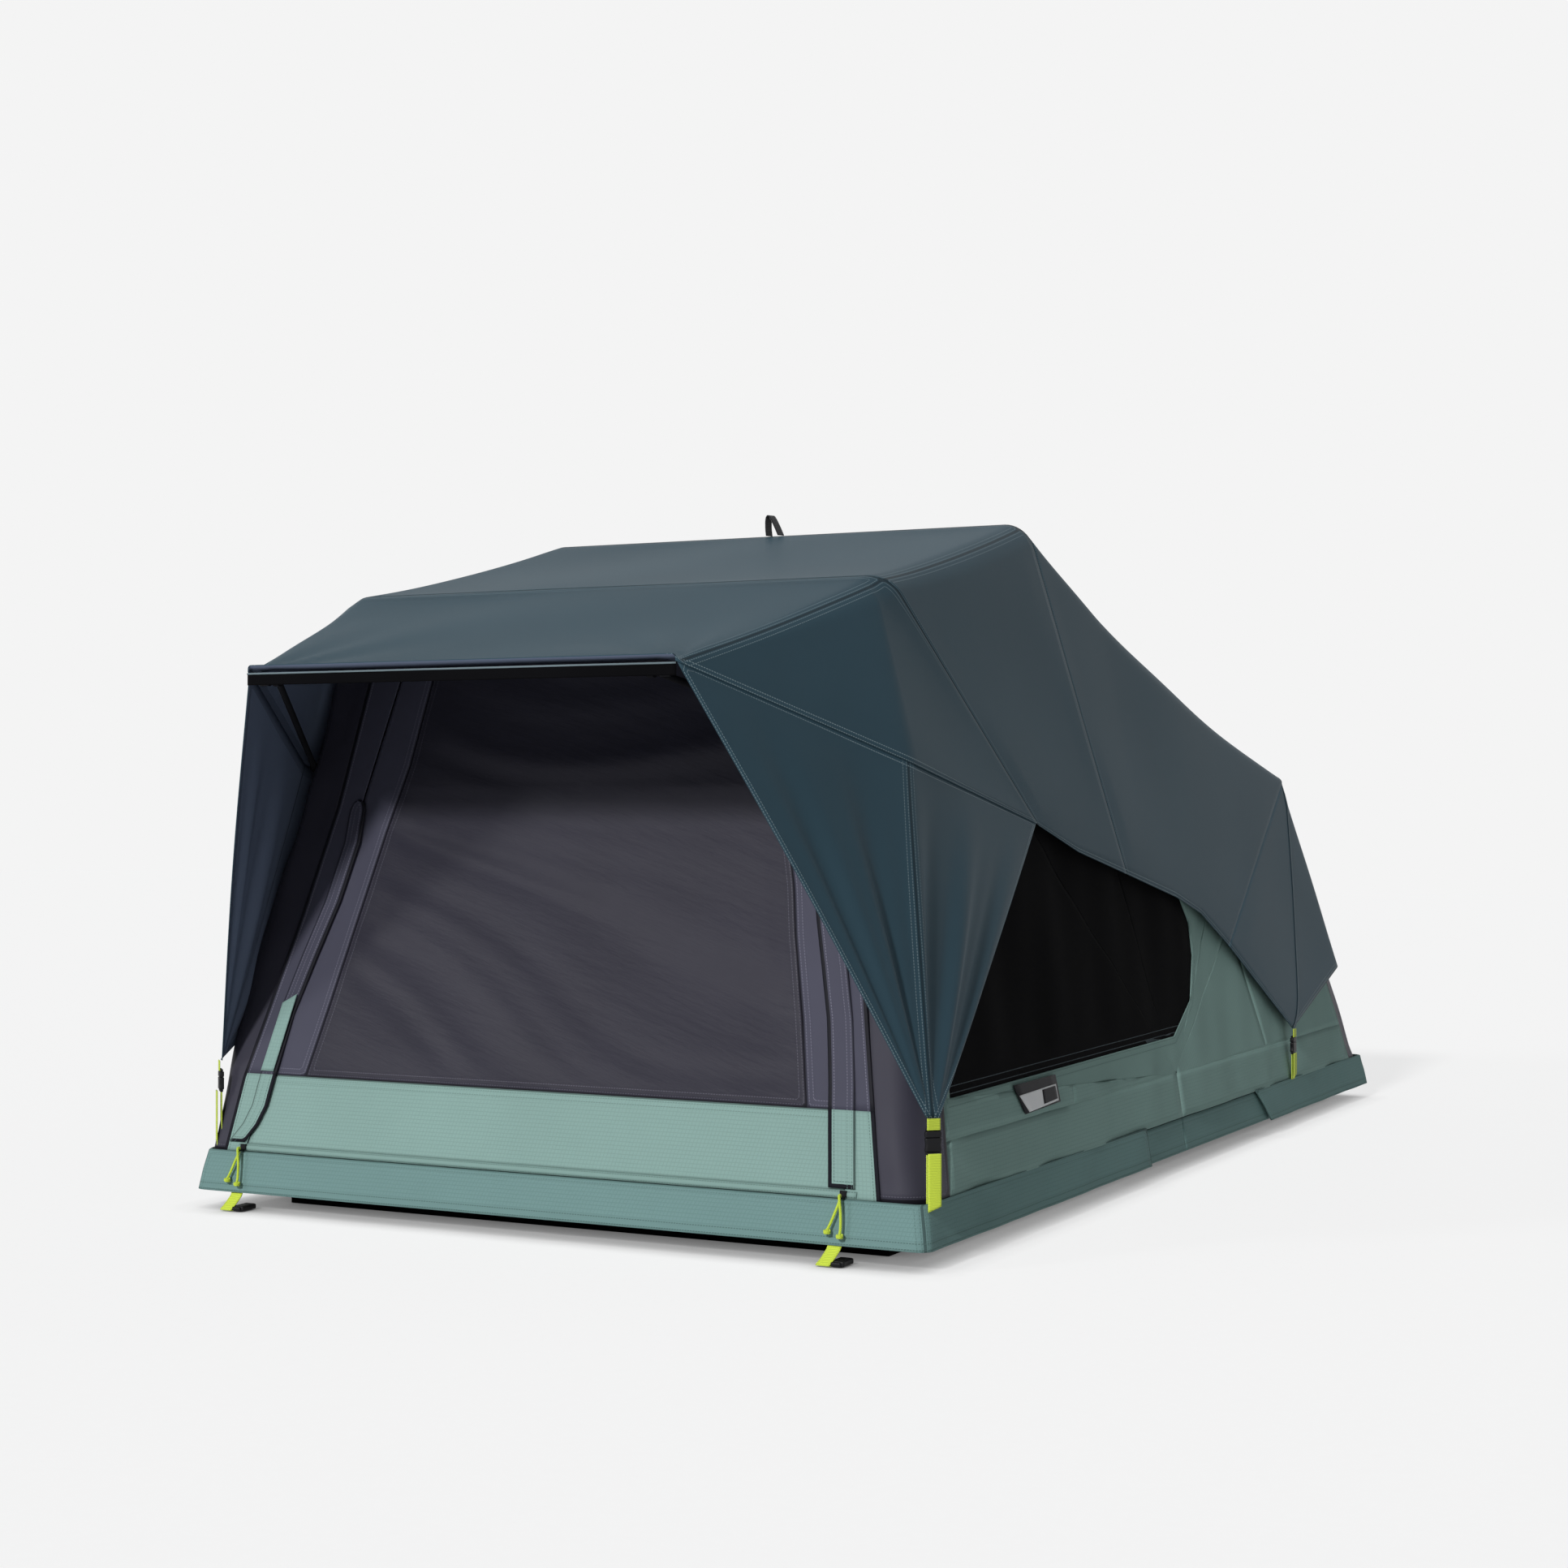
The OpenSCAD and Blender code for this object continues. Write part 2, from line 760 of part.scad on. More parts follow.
zip_height = door_foot - 4;
zip_y = front_y(zip_height);
zip_right_end = door_right[0][0] + 2;
slider_left_x = -door_right[0][0] - 33;
slider_right_x = door_right[0][0] - 18;
zip_left_end = slider_left_x - 12;

module door_zip() {
    color("darkseagreen")
        place()
            translate([zip_left_end, zip_y - 2.4, zip_height - 5])
                cube([zip_right_end - zip_left_end, 1, 10]);
}

// Zip slider with its tab out over the skirt; the pull cord hangs from the tab's hole
tab_thickness = 2.5;
tab_z = zip_height - 4;
cord_hole_y = zip_y - 15.7;

module zip_slider(x) {
    place()
        difference() {
            translate([x, 0, 0]) {
                translate([-5, zip_y - 7.2, zip_height - 4])
                    cube([10, 4, 9]);
                translate([-3.5, cord_hole_y - 3.5, tab_z - tab_thickness / 2])
                    cube([7, zip_y - 6.7 - cord_hole_y + 3.5, tab_thickness]);
            }
            translate([x, cord_hole_y, tab_z - 5])
                cylinder(h = 10, r = 2.4);
        }
}

module zip_slider_left() {
    color("black") zip_slider(slider_left_x);
}

module zip_slider_right() {
    color("black") zip_slider(slider_right_x);
}

// A doubled cord through the tab's hole, hanging in front of the skirt
cord_radius = 1.7;
cord_path = [[-3.2, -11.5, -58], [-3, -9, -40], [-2, -5.5, -18], [-0.8, -2, -6], [0, 0, 0], [0.6, -1.2, 4.2],
    [1.2, -5.6, 3.6], [2.2, -7.6, -3], [3.2, -9.5, -20], [3.4, -12, -42], [3, -14.5, -62]];

module cord(path, r) {
    count = len(path);
    sides = 8;
    ring = [for (k = [0 : count - 1])
        let (
            d = path[min(k + 1, count - 1)] - path[max(k - 1, 0)],
            u = cross(d, [1, 0, 0]) / norm(cross(d, [1, 0, 0])),
            v = cross(u, d) / norm(d)
        )
        [for (a = [0 : sides - 1]) path[k] + r * (u * cos(a * 360 / sides) + v * sin(a * 360 / sides))]];
    points = [for (q = ring) each q];
    walls = [for (k = [0 : count - 2]) for (a = [0 : sides - 1])
        let (p = k * sides + a, q = k * sides + (a + 1) % sides)
        each [[p, q, q + sides], [p, q + sides, p + sides]]];
    first = [for (a = [1 : sides - 2]) [0, a + 1, a]];
    final = [for (a = [1 : sides - 2]) let (b = (count - 1) * sides) [b, b + a, b + a + 1]];
    polyhedron(points = points, faces = concat(walls, first, final), convexity = 4);
}

module zip_pull(x) {
    place()
        translate([x, cord_hole_y, tab_z])
            cord(cord_path, cord_radius);
}

module zip_pull_left() {
    color("greenyellow") zip_pull(slider_left_x);
}

module zip_pull_right() {
    color("greenyellow") zip_pull(slider_right_x);
}

// Skirt: leans out from its top seam to its hem
skirt_lean = 10;
skirt_round = 40;
function skirt_inset(z) = skirt_lean * (z - skirt_hem) / skirt_height;

// Ends of the front and rear skirts before and behind the hinge, and the middle skirts' lap under them
front_skirt_end = 200;
rear_skirt_start = 500;
rear_skirt_rake = 60;
skirt_lap = 20;
function front_skirt_row(z, end) =
    let (x = half_width - skirt_inset(z), y = skirt_inset(z), r = skirt_round,
        right = concat(
            [for (t = [0, 0.3, 0.6]) [x, lerp(end, y + r, t), z]],
            [for (a = [0 : 22.5 : 90]) [x - r + r * cos(a), y + r - r * sin(a), z]]),
        count = len(right))
    concat(right, [[0, y, z]], [for (k = [1 : count]) [-right[count - k][0], right[count - k][1], z]]);

function rear_skirt_row(z, end) =
    let (x = half_width - skirt_inset(z), y = base_length - skirt_inset(z), r = skirt_round,
        right = concat(
            [for (a = [90 : -22.5 : 0]) [x - r + r * cos(a), y - r + r * sin(a), z]],
            [for (t = [0.4, 0.7, 1]) [x, lerp(y - r, end, t), z]]),
        count = len(right))
    concat([for (k = [1 : count]) [-right[count - k][0], right[count - k][1], z]], [[0, y, z]], right);

module front_skirt() {
    color("darkseagreen")
        place()
            cloth([for (k = [0 : 2])
                front_skirt_row(lerp(skirt_hem, skirt_top, k / 2), front_half - front_skirt_end)]);
}

module rear_skirt() {
    color("darkseagreen")
        place()
            cloth([for (k = [0 : 2])
                rear_skirt_row(lerp(skirt_hem, skirt_top, k / 2),
                    front_half + rear_skirt_start - rear_skirt_rake * k / 2)]);
}

module middle_skirts() {
    color("darkseagreen")
        place()
            both_sides()
                translate([half_width - 20 + 0.6, front_half - front_skirt_end - skirt_lap, skirt_hem + 2])
                    cube([fabric, front_skirt_end + rear_skirt_start + 2 * skirt_lap, skirt_height - 3]);
}

module ridge_loop() {
    loop_width = 16;
    outer = 12;
    stand = 30;
    place()
        color("black")
            translate([-loop_width / 2, ridge_back, ridge_height + 0.4])
                rotate([90, 0, 90])
                    linear_extrude(loop_width)
                        difference() {
                            union() {
                                translate([0, stand - outer])
                                    circle(r = outer);
                                translate([-outer, 0])
                                    square([2 * outer, stand - outer]);
                            }
                            translate([0, stand - outer])
                                circle(r = outer - 2);
                            translate([-outer + 2, 2])
                                square([2 * outer - 4, stand - outer - 2]);
                        }
}

// Corner strap and buckle, drawn hanging down -Z from the fly's corner, facing -Y
buckle_width = strap_width + 4;

module strap_piece(drop, tail) {
    translate([-strap_width / 2, 1.3, -drop])
        cube([strap_width, 1.4, drop - 48]);
    translate([-strap_width / 2, -4.4, -tail])
        cube([strap_width, 1.2, tail - 50]);
    translate([-buckle_width / 2, -2.9, -68])
        cube([buckle_width, 3.9, 14]);
}

module socket_piece() {
    difference() {
        translate([-buckle_width / 2, -4, -47.6])
            cube([buckle_width, 8, 20]);
        translate([-buckle_width / 2 + 3, -2, -42])
            cube([buckle_width - 6, 4, 30]);
    }
}

module plug_piece() {
    translate([-buckle_width / 2, -4, -27.2])
        cube([buckle_width, 8, 9]);
    for (x = [-buckle_width / 2 + 3.4, -1.5, buckle_width / 2 - 6.4])
        translate([x, -1.6, -38])
            cube([3, 3.2, 11]);
    translate([-strap_width / 2, -0.7, -18.4])
        cube([strap_width, 1.4, 17.4]);
}

// Where the straps hang: out from the front corners, and from the rear ends of the fly's side edges
module at_front_strap() {
    place()
        translate(wing_foot)
            rotate([0, 0, 45])
                children();
}

module at_rear_strap() {
    place()
        translate([half_width - skirt_lean + 2.6, edge_end[0], edge_end[1]])
            rotate([0, 0, 90])
                children();
}

module front_corner_straps() {
    color("greenyellow") both_sides() at_front_strap() strap_piece(wing_foot[2] - wall_foot, 132);
}

module rear_corner_straps() {
    color("greenyellow") both_sides() at_rear_strap() strap_piece(edge_end[1] - wall_foot, 100);
}

module front_buckle_sockets() {
    color("black") both_sides() at_front_strap() socket_piece();
}

module rear_buckle_sockets() {
    color("black") both_sides() at_rear_strap() socket_piece();
}

module buckle_plug_front_left() {
    color("black") mirror([1, 0, 0]) at_front_strap() plug_piece();
}

module buckle_plug_front_right() {
    color("black") at_front_strap() plug_piece();
}

module buckle_plug_rear_left() {
    color("black") mirror([1, 0, 0]) at_rear_strap() plug_piece();
}

module buckle_plug_rear_right() {
    color("black") at_rear_strap() plug_piece();
}

// Tie straps from under the front floor board, hanging to the floor at the hem with their buckles
tie_positions = [81 - half_width, half_width - 149];
tie_top = frame_height - 0.4;
tie_buckle_front = -4.7;
tie_buckle_length = 33.6;

module tie_straps() {
    color("greenyellow")
        place()
            for (x = tie_positions)
                translate([x - strap_width / 2, 0, 0])
                    rotate([90, 0, 90])
                        linear_extrude(strap_width)
                            polygon([[2.8, tie_top], [2.8, 28.5], [-4, 14], [-10, 1.2], [-10, 0.4], [-8.4, 0.6],
                                [-2.6, 13.6], [4.2, 28.2], [4.2, tie_top - 1.4], [30, tie_top - 1.4], [30, tie_top]]);
}

module tie_buckles() {
    color("black")
        place()
            for (x = tie_positions)
                translate([x - buckle_width / 2, tie_buckle_front, 0])
                    difference() {
                        cube([buckle_width, tie_buckle_length, 8]);
                        translate([3, -6, 2])
                            cube([buckle_width - 6, 26, 4]);
                    }
}

rear_base_frame();
rear_floor_board();
rear_mattress();
mounting_rails();
rear_hinge_plates();
hinge_pins();
front_base_frame();
front_floor_board();
front_mattress();
front_hinge_plates();
front_hoop();
front_hoop_eyes();
ridge_hoop();
ridge_hoop_eyes();
rear_hoop();
rear_hoop_eyes();
awning_bar();
awning_bar_caps();
awning_strut_left();
awning_strut_right();
fly_awning();
fly_wing_left();
fly_wing_right();
fly_front_roof();
fly_rear_roof();
fly_back();
front_wall();
rear_wall();
side_wall_left();
side_wall_right();
window_left();
window_right();
front_corner_sleeves();
rear_corner_sleeves();
door_panel();
door_band();
zip_flap_left();
zip_flap_right();
flap_patch();
side_label();
door_zip();
zip_slider_left();
zip_slider_right();
zip_pull_left();
zip_pull_right();
front_skirt();
middle_skirts();
rear_skirt();
ridge_loop();
front_corner_straps();
rear_corner_straps();
front_buckle_sockets();
rear_buckle_sockets();
buckle_plug_front_left();
buckle_plug_front_right();
buckle_plug_rear_left();
buckle_plug_rear_right();
tie_straps();
tie_buckles();
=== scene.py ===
# %% [markdown]
# # A roof top tent, dressed over its CAD frame
#
# The tent stands open on its folding base: a dark fly on three hoops, an awning held out over
# the door, and a sage and charcoal inner tent. The CAD part has every piece at its size, so this
# lesson dresses it: each fabric is worked out as a grid of points, cut and folded as the real
# one is, and gets a finish with weave, seams and stitches. Loading comes first, because every
# later piece takes its place from the frame.

# %% Load the frame
import json
import math

import bpy
import numpy as np
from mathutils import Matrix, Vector


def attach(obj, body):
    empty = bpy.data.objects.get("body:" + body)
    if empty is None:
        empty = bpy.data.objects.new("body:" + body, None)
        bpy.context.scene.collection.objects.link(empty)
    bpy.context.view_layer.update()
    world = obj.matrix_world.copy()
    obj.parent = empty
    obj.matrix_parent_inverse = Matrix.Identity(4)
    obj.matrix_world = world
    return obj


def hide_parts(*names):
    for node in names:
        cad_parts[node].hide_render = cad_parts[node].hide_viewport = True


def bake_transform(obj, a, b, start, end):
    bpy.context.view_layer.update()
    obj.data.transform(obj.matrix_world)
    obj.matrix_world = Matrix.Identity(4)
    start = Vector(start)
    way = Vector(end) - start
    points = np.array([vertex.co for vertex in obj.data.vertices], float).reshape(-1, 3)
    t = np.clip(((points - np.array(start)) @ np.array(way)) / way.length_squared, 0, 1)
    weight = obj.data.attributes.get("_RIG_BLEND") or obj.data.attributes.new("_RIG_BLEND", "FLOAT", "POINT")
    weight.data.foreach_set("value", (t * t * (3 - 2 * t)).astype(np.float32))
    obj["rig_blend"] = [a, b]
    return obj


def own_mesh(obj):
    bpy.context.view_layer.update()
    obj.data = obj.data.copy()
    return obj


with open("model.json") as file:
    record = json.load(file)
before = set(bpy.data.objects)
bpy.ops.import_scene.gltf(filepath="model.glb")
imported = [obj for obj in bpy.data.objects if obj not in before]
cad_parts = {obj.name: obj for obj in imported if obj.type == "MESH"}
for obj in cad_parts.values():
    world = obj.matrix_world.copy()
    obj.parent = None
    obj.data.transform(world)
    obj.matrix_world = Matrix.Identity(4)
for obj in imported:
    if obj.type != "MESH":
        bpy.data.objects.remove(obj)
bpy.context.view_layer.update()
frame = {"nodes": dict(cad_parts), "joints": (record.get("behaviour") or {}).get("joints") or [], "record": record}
joints = {joint["name"]: joint for joint in frame["joints"]}

# %% [markdown]
# ## The place of things
#
# The part is measured from the front edge of its skirt: x to the right, y back, z up, in metres.
# The frame's own origin is under the middle of the floor, so one shift in y joins the two. The
# hinge line between the two halves of the base is the tent_fold joint, which gives that shift.

# %% Shift between the tent's own measures and the frame
HINGE_FROM_FRONT = 1.150
HINGE_HEIGHT = joints["tent_fold"]["pos_m"][2]
FRAME_SHIFT = joints["tent_fold"]["pos_m"][1] - HINGE_FROM_FRONT


def to_frame(points):
    """Moves points from the tent's own measures into the frame: y gains the shift."""
    moved = np.array(points, float)
    moved[..., 1] += FRAME_SHIFT
    return moved


print("frame shift", round(FRAME_SHIFT, 4), "hinge height", HINGE_HEIGHT)

# %% [markdown]
# ## The camera
#
# The photograph looks at the front right corner from a little over half the tent's height, with a
# moderate tele lens. Place, turn and focal length were solved from the corners of the fly, the
# skirt and the awning, so the camera is set by numbers, not by eye.

# %% Camera
camera_data = bpy.data.cameras.new("photo_camera")
camera_data.sensor_width = 36.0
camera_data.lens = 59.23
camera = bpy.data.objects.new("photo_camera", camera_data)
camera.location = (2.1152, -4.3827, 0.6713)
camera.rotation_euler = (math.radians(90.2125), 0.0, math.radians(27.186))
bpy.context.collection.objects.link(camera)
bpy.context.scene.camera = camera
print("camera at", tuple(round(v, 3) for v in camera.location))

# %% [markdown]
# ## Finishes: a small kit of shader nodes
#
# Every finish is made of the same few moves: a noise that tints the colour, a fine pattern that
# lifts the surface, and masks made from a number stored on the mesh. These helpers keep each
# material short. Colours are written as they look on screen and turned into linear light here.

# %% Shader helpers
def paint(red, green, blue):
    """A screen colour of 0 to 255 as linear light: (c / 255) to the power of about 2.4."""
    share = np.array([red, green, blue], float) / 255.0
    linear = np.where(share <= 0.04045, share / 12.92, ((share + 0.055) / 1.055) ** 2.4)
    return (*[float(v) for v in linear], 1.0)


def tinted(colour, factor):
    """The same colour with its light scaled, its alpha kept."""
    return tuple(min(1.0, c * factor) for c in colour[:3]) + (1.0,)


class Finish:
    """A material with its shader at hand, and short calls that add and join nodes."""

    def __init__(self, name, roughness=0.6, specular=0.3, sheen=0.0, metallic=0.0):
        self.material = bpy.data.materials.new(name)
        self.material.use_nodes = True
        self.tree = self.material.node_tree
        self.shader = self.tree.nodes["Principled BSDF"]
        self.shader.inputs["Roughness"].default_value = roughness
        self.shader.inputs["Specular IOR Level"].default_value = specular
        self.shader.inputs["Sheen Weight"].default_value = sheen
        self.shader.inputs["Metallic"].default_value = metallic

    def join(self, value, socket):
        """Puts a number on a socket, or links another node's output to it."""
        if isinstance(value, (int, float)):
            socket.default_value = value
        else:
            self.tree.links.new(value, socket)

    def calc(self, operation, a, b=0.0, c=0.0):
        """One Math node: operation of a, b and c."""
        node = self.tree.nodes.new("ShaderNodeMath")
        node.operation = operation
        for value, socket in zip((a, b, c), node.inputs):
            self.join(value, socket)
        return node.outputs[0]

    def attribute(self, name):
        """A number stored on the mesh's points."""
        node = self.tree.nodes.new("ShaderNodeAttribute")
        node.attribute_name = name
        return node.outputs["Fac"]

    def places(self, stretch=(1.0, 1.0, 1.0), turn=0.0):
        """Object coordinates, stretched and turned about z."""
        coordinate = self.tree.nodes.new("ShaderNodeTexCoord")
        mapping = self.tree.nodes.new("ShaderNodeMapping")
        mapping.inputs["Scale"].default_value = stretch
        mapping.inputs["Rotation"].default_value = (0.0, 0.0, turn)
        self.tree.links.new(coordinate.outputs["Object"], mapping.inputs["Vector"])
        return mapping.outputs[0]

    def cloth_places(self, stretch=(1.0, 1.0, 1.0), turn=0.0):
        """The cloth's own flat coordinates in metres, turned and then drawn out along the turned axes."""
        flat = self.tree.nodes.new("ShaderNodeUVMap")
        flat.uv_map = "cloth"
        mapping = self.tree.nodes.new("ShaderNodeMapping")
        mapping.vector_type = "TEXTURE"
        mapping.inputs["Scale"].default_value = stretch
        mapping.inputs["Rotation"].default_value = (0.0, 0.0, turn)
        self.tree.links.new(flat.outputs[0], mapping.inputs["Vector"])
        return mapping.outputs[0]

    def noise(self, places, scale, detail=3.0, roughness=0.55):
        """Cloudy noise from 0 to 1."""
        node = self.tree.nodes.new("ShaderNodeTexNoise")
        node.inputs["Scale"].default_value = scale
        node.inputs["Detail"].default_value = detail
        node.inputs["Roughness"].default_value = roughness
        self.tree.links.new(places, node.inputs["Vector"])
        return node.outputs["Fac"]

    def bands(self, places, period, direction="X"):
        """Even waves from 0 to 1 with the given period in metres."""
        node = self.tree.nodes.new("ShaderNodeTexWave")
        node.wave_type = "BANDS"
        node.bands_direction = direction
        node.inputs["Scale"].default_value = math.pi / (10.0 * period)
        self.tree.links.new(places, node.inputs["Vector"])
        return node.outputs["Fac"]

    def ramp(self, value, stops):
        """Colours along a value: stops are (place, colour)."""
        node = self.tree.nodes.new("ShaderNodeValToRGB")
        ramp = node.color_ramp
        ramp.elements[0].position, ramp.elements[0].color = stops[0]
        ramp.elements[1].position, ramp.elements[1].color = stops[-1]
        for place, colour in stops[1:-1]:
            ramp.elements.new(place).color = colour
        self.join(value, node.inputs["Fac"])
        return node.outputs["Color"]

    def mix(self, share, a, b):
        """Colour a where share is 0 and colour b where it is 1."""
        node = self.tree.nodes.new("ShaderNodeMix")
        node.data_type = "RGBA"
        self.join(share, node.inputs["Factor"])
        for value, socket in ((a, node.inputs[6]), (b, node.inputs[7])):
            if isinstance(value, tuple):
                socket.default_value = value
            else:
                self.tree.links.new(value, socket)
        return node.outputs[2]

    def raised(self, height, mask, amount):
        """A height that grows by an amount where a mask is 1."""
        return self.calc("ADD", height, self.calc("MULTIPLY", mask, amount))

    def colour(self, value):
        """Links the shader's colour."""
        self.tree.links.new(value, self.shader.inputs["Base Color"])

    def rough(self, value):
        """Links the shader's roughness."""
        self.tree.links.new(value, self.shader.inputs["Roughness"])

    def bump(self, height, depth, strength=1.0):
        """Lifts the surface by height times depth in metres."""
        node = self.tree.nodes.new("ShaderNodeBump")
        node.inputs["Strength"].default_value = strength
        node.inputs["Distance"].default_value = depth
        self.tree.links.new(height, node.inputs["Height"])
        self.tree.links.new(node.outputs[0], self.shader.inputs["Normal"])


print("shader helpers ready")

# %% [markdown]
# ## Zip pulls
#
# A short braided cord hangs from each zip slider, put through the hole in its tab with two tails of
# unequal length in front of the skirt, each tied off in a knot. The tails are curves with a round
# section: a curve keeps its own length, so it can be measured. Their points follow the route of the
# CAD part and spread apart, as they do in the photograph. A spline through them rounds the bends, and
# a close helix makes each knot.

# %% Zip pull cords
def through_points(points, steps):
    """A smooth path through points: a Catmull-Rom cubic on each stretch, worked out as arrays."""
    points = np.array(points, float)
    padded = np.concatenate([2 * points[:1] - points[1:2], points, 2 * points[-1:] - points[-2:-1]])
    place = np.linspace(0.0, len(points) - 1.0, steps)
    stretch = np.minimum(place.astype(int), len(points) - 2)
    t = (place - stretch)[:, None]
    before, start, end, after = (padded[stretch + k] for k in range(4))
    return 0.5 * (2 * start + (end - before) * t + (2 * before - 5 * start + 4 * end - after) * t ** 2
                  + (3 * start - before - 3 * end + after) * t ** 3)


def braid_finish(name, colour, dark, period):
    """Braided cord: two sets of slanted bands that cross."""
    finish = Finish(name, 0.7, 0.25, 0.2)
    one = finish.bands(finish.places((1.0, 1.0, 1.0), 0.6), period, "DIAGONAL")
    two = finish.bands(finish.places((-1.0, 1.0, 1.0), 0.6), period, "DIAGONAL")
    both = finish.calc("MULTIPLY", one, two)
    # Painted shade: the cord is darker in the grooves between the strands, where the crossed bands are low.
    finish.colour(finish.ramp(both, [(0.05, dark), (0.6, colour)]))
    finish.bump(both, 0.0004, 0.8)
    return finish.material


CORD_DIAMETER = 0.0042
KNOT_RADIUS = 0.0034
KNOT_TURNS = 2.5
SLIDER_PLACES = {"left": -0.563, "right": 0.512}
TAB_HOLE = np.array([0.0, 0.0055, 0.097])
MILLIMETRE = 0.001
SHORT_TAIL = np.array([(0, 0, 0), (-0.8, -2, -6), (-4, -6.5, -18), (-10, -9.5, -34),
                       (-15, -12, -45)]) * MILLIMETRE
LONG_TAIL = np.array([(0, 0, 0), (0.6, -1.2, 4.2), (1.2, -5.6, 3.6), (2.6, -7.6, -3), (5.2, -9.5, -20),
                      (6.4, -12, -40), (5.5, -13.5, -50)]) * MILLIMETRE


def cord_curve(name, path, finish):
    """A round cord along a path of points."""
    line = bpy.data.curves.new(name, "CURVE")
    line.dimensions = "3D"
    line.bevel_depth = CORD_DIAMETER / 2
    line.bevel_resolution = 3
    line.use_fill_caps = True
    spline = line.splines.new("POLY")
    spline.points.add(len(path) - 1)
    spline.points.foreach_set("co", np.column_stack([path, np.ones(len(path))]).ravel())
    line.materials.append(finish)
    cord = bpy.data.objects.new(name, line)
    bpy.context.collection.objects.link(cord)
    return cord


def knot_path(end):
    """Two and a half close turns about the end of a tail: a helix that drops by one cord's width."""
    turn = np.linspace(0.0, KNOT_TURNS * 2.0 * math.pi, 60)
    drop = -CORD_DIAMETER * turn / turn[-1]
    return end + np.stack([KNOT_RADIUS * np.cos(turn), KNOT_RADIUS * np.sin(turn), drop], axis=-1)


neon_cord = braid_finish("neon_cord", paint(222, 242, 80), paint(168, 190, 48), 0.0016)
for side, slider_x in SLIDER_PLACES.items():
    hole = to_frame(TAB_HOLE + np.array([slider_x, 0.0, 0.0]))
    for tail_name, tail in (("short", SHORT_TAIL), ("long", LONG_TAIL)):
        path = hole + through_points(tail, 30)
        pull = cord_curve(f"zip_pull_{side}_{tail_name}", path, neon_cord)
        knot = cord_curve(f"zip_pull_{side}_{tail_name}_knot", knot_path(path[-1]), neon_cord)
        for piece in (pull, knot):
            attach(piece, f"zip_{side}")
            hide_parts(f"zip_pull_{side}")

# %% [markdown]
# ## Finish: cloth with seams
#
# Tent cloth is woven fine and coated, and its panels are sewn with two rows of stitches beside a
# folded edge. The weave is two crossed waves on the cloth's flat coordinates. Each cloth mesh
# also stores how far a point is from the nearest sewn edge and how far along it lies, so the
# shader can lay a binding, a dark line of painted shade in the seam's fold, and dashed stitches
# exactly along the seam.

# %% Cloth finishes
STITCH_LENGTH, STITCH_SHARE, THREAD_HALF_WIDTH = 0.0045, 0.66, 0.0007
FELLED_ROWS = (0.0045, 0.0115)
SEAM_SHADE_WIDTH, LAP_WIDTH = 0.0022, 0.014
CHECK_START, CHECK_STRENGTH, CHECK_SHADE = 0.93, 0.22, 0.62
RELIEF = {"weave": 0.12, "check": 0.2, "hem": 0.5, "lap": 0.35, "thread": 0.5}
RELIEF_DEPTH, RELIEF_STRENGTH = 0.0012, 0.7


def stitches(finish, edge, run, rows):
    """1 on the thread: within half its width of a row, on two thirds of each stitch length."""
    step = finish.calc("FRACT", finish.calc("DIVIDE", run, STITCH_LENGTH))
    dash = finish.calc("LESS_THAN", step, STITCH_SHARE)
    mask = None
    for row in rows:
        on_row = finish.calc("COMPARE", edge, row, THREAD_HALF_WIDTH)
        mask = on_row if mask is None else finish.calc("MAXIMUM", mask, on_row)
    return finish.calc("MULTIPLY", mask, dash)


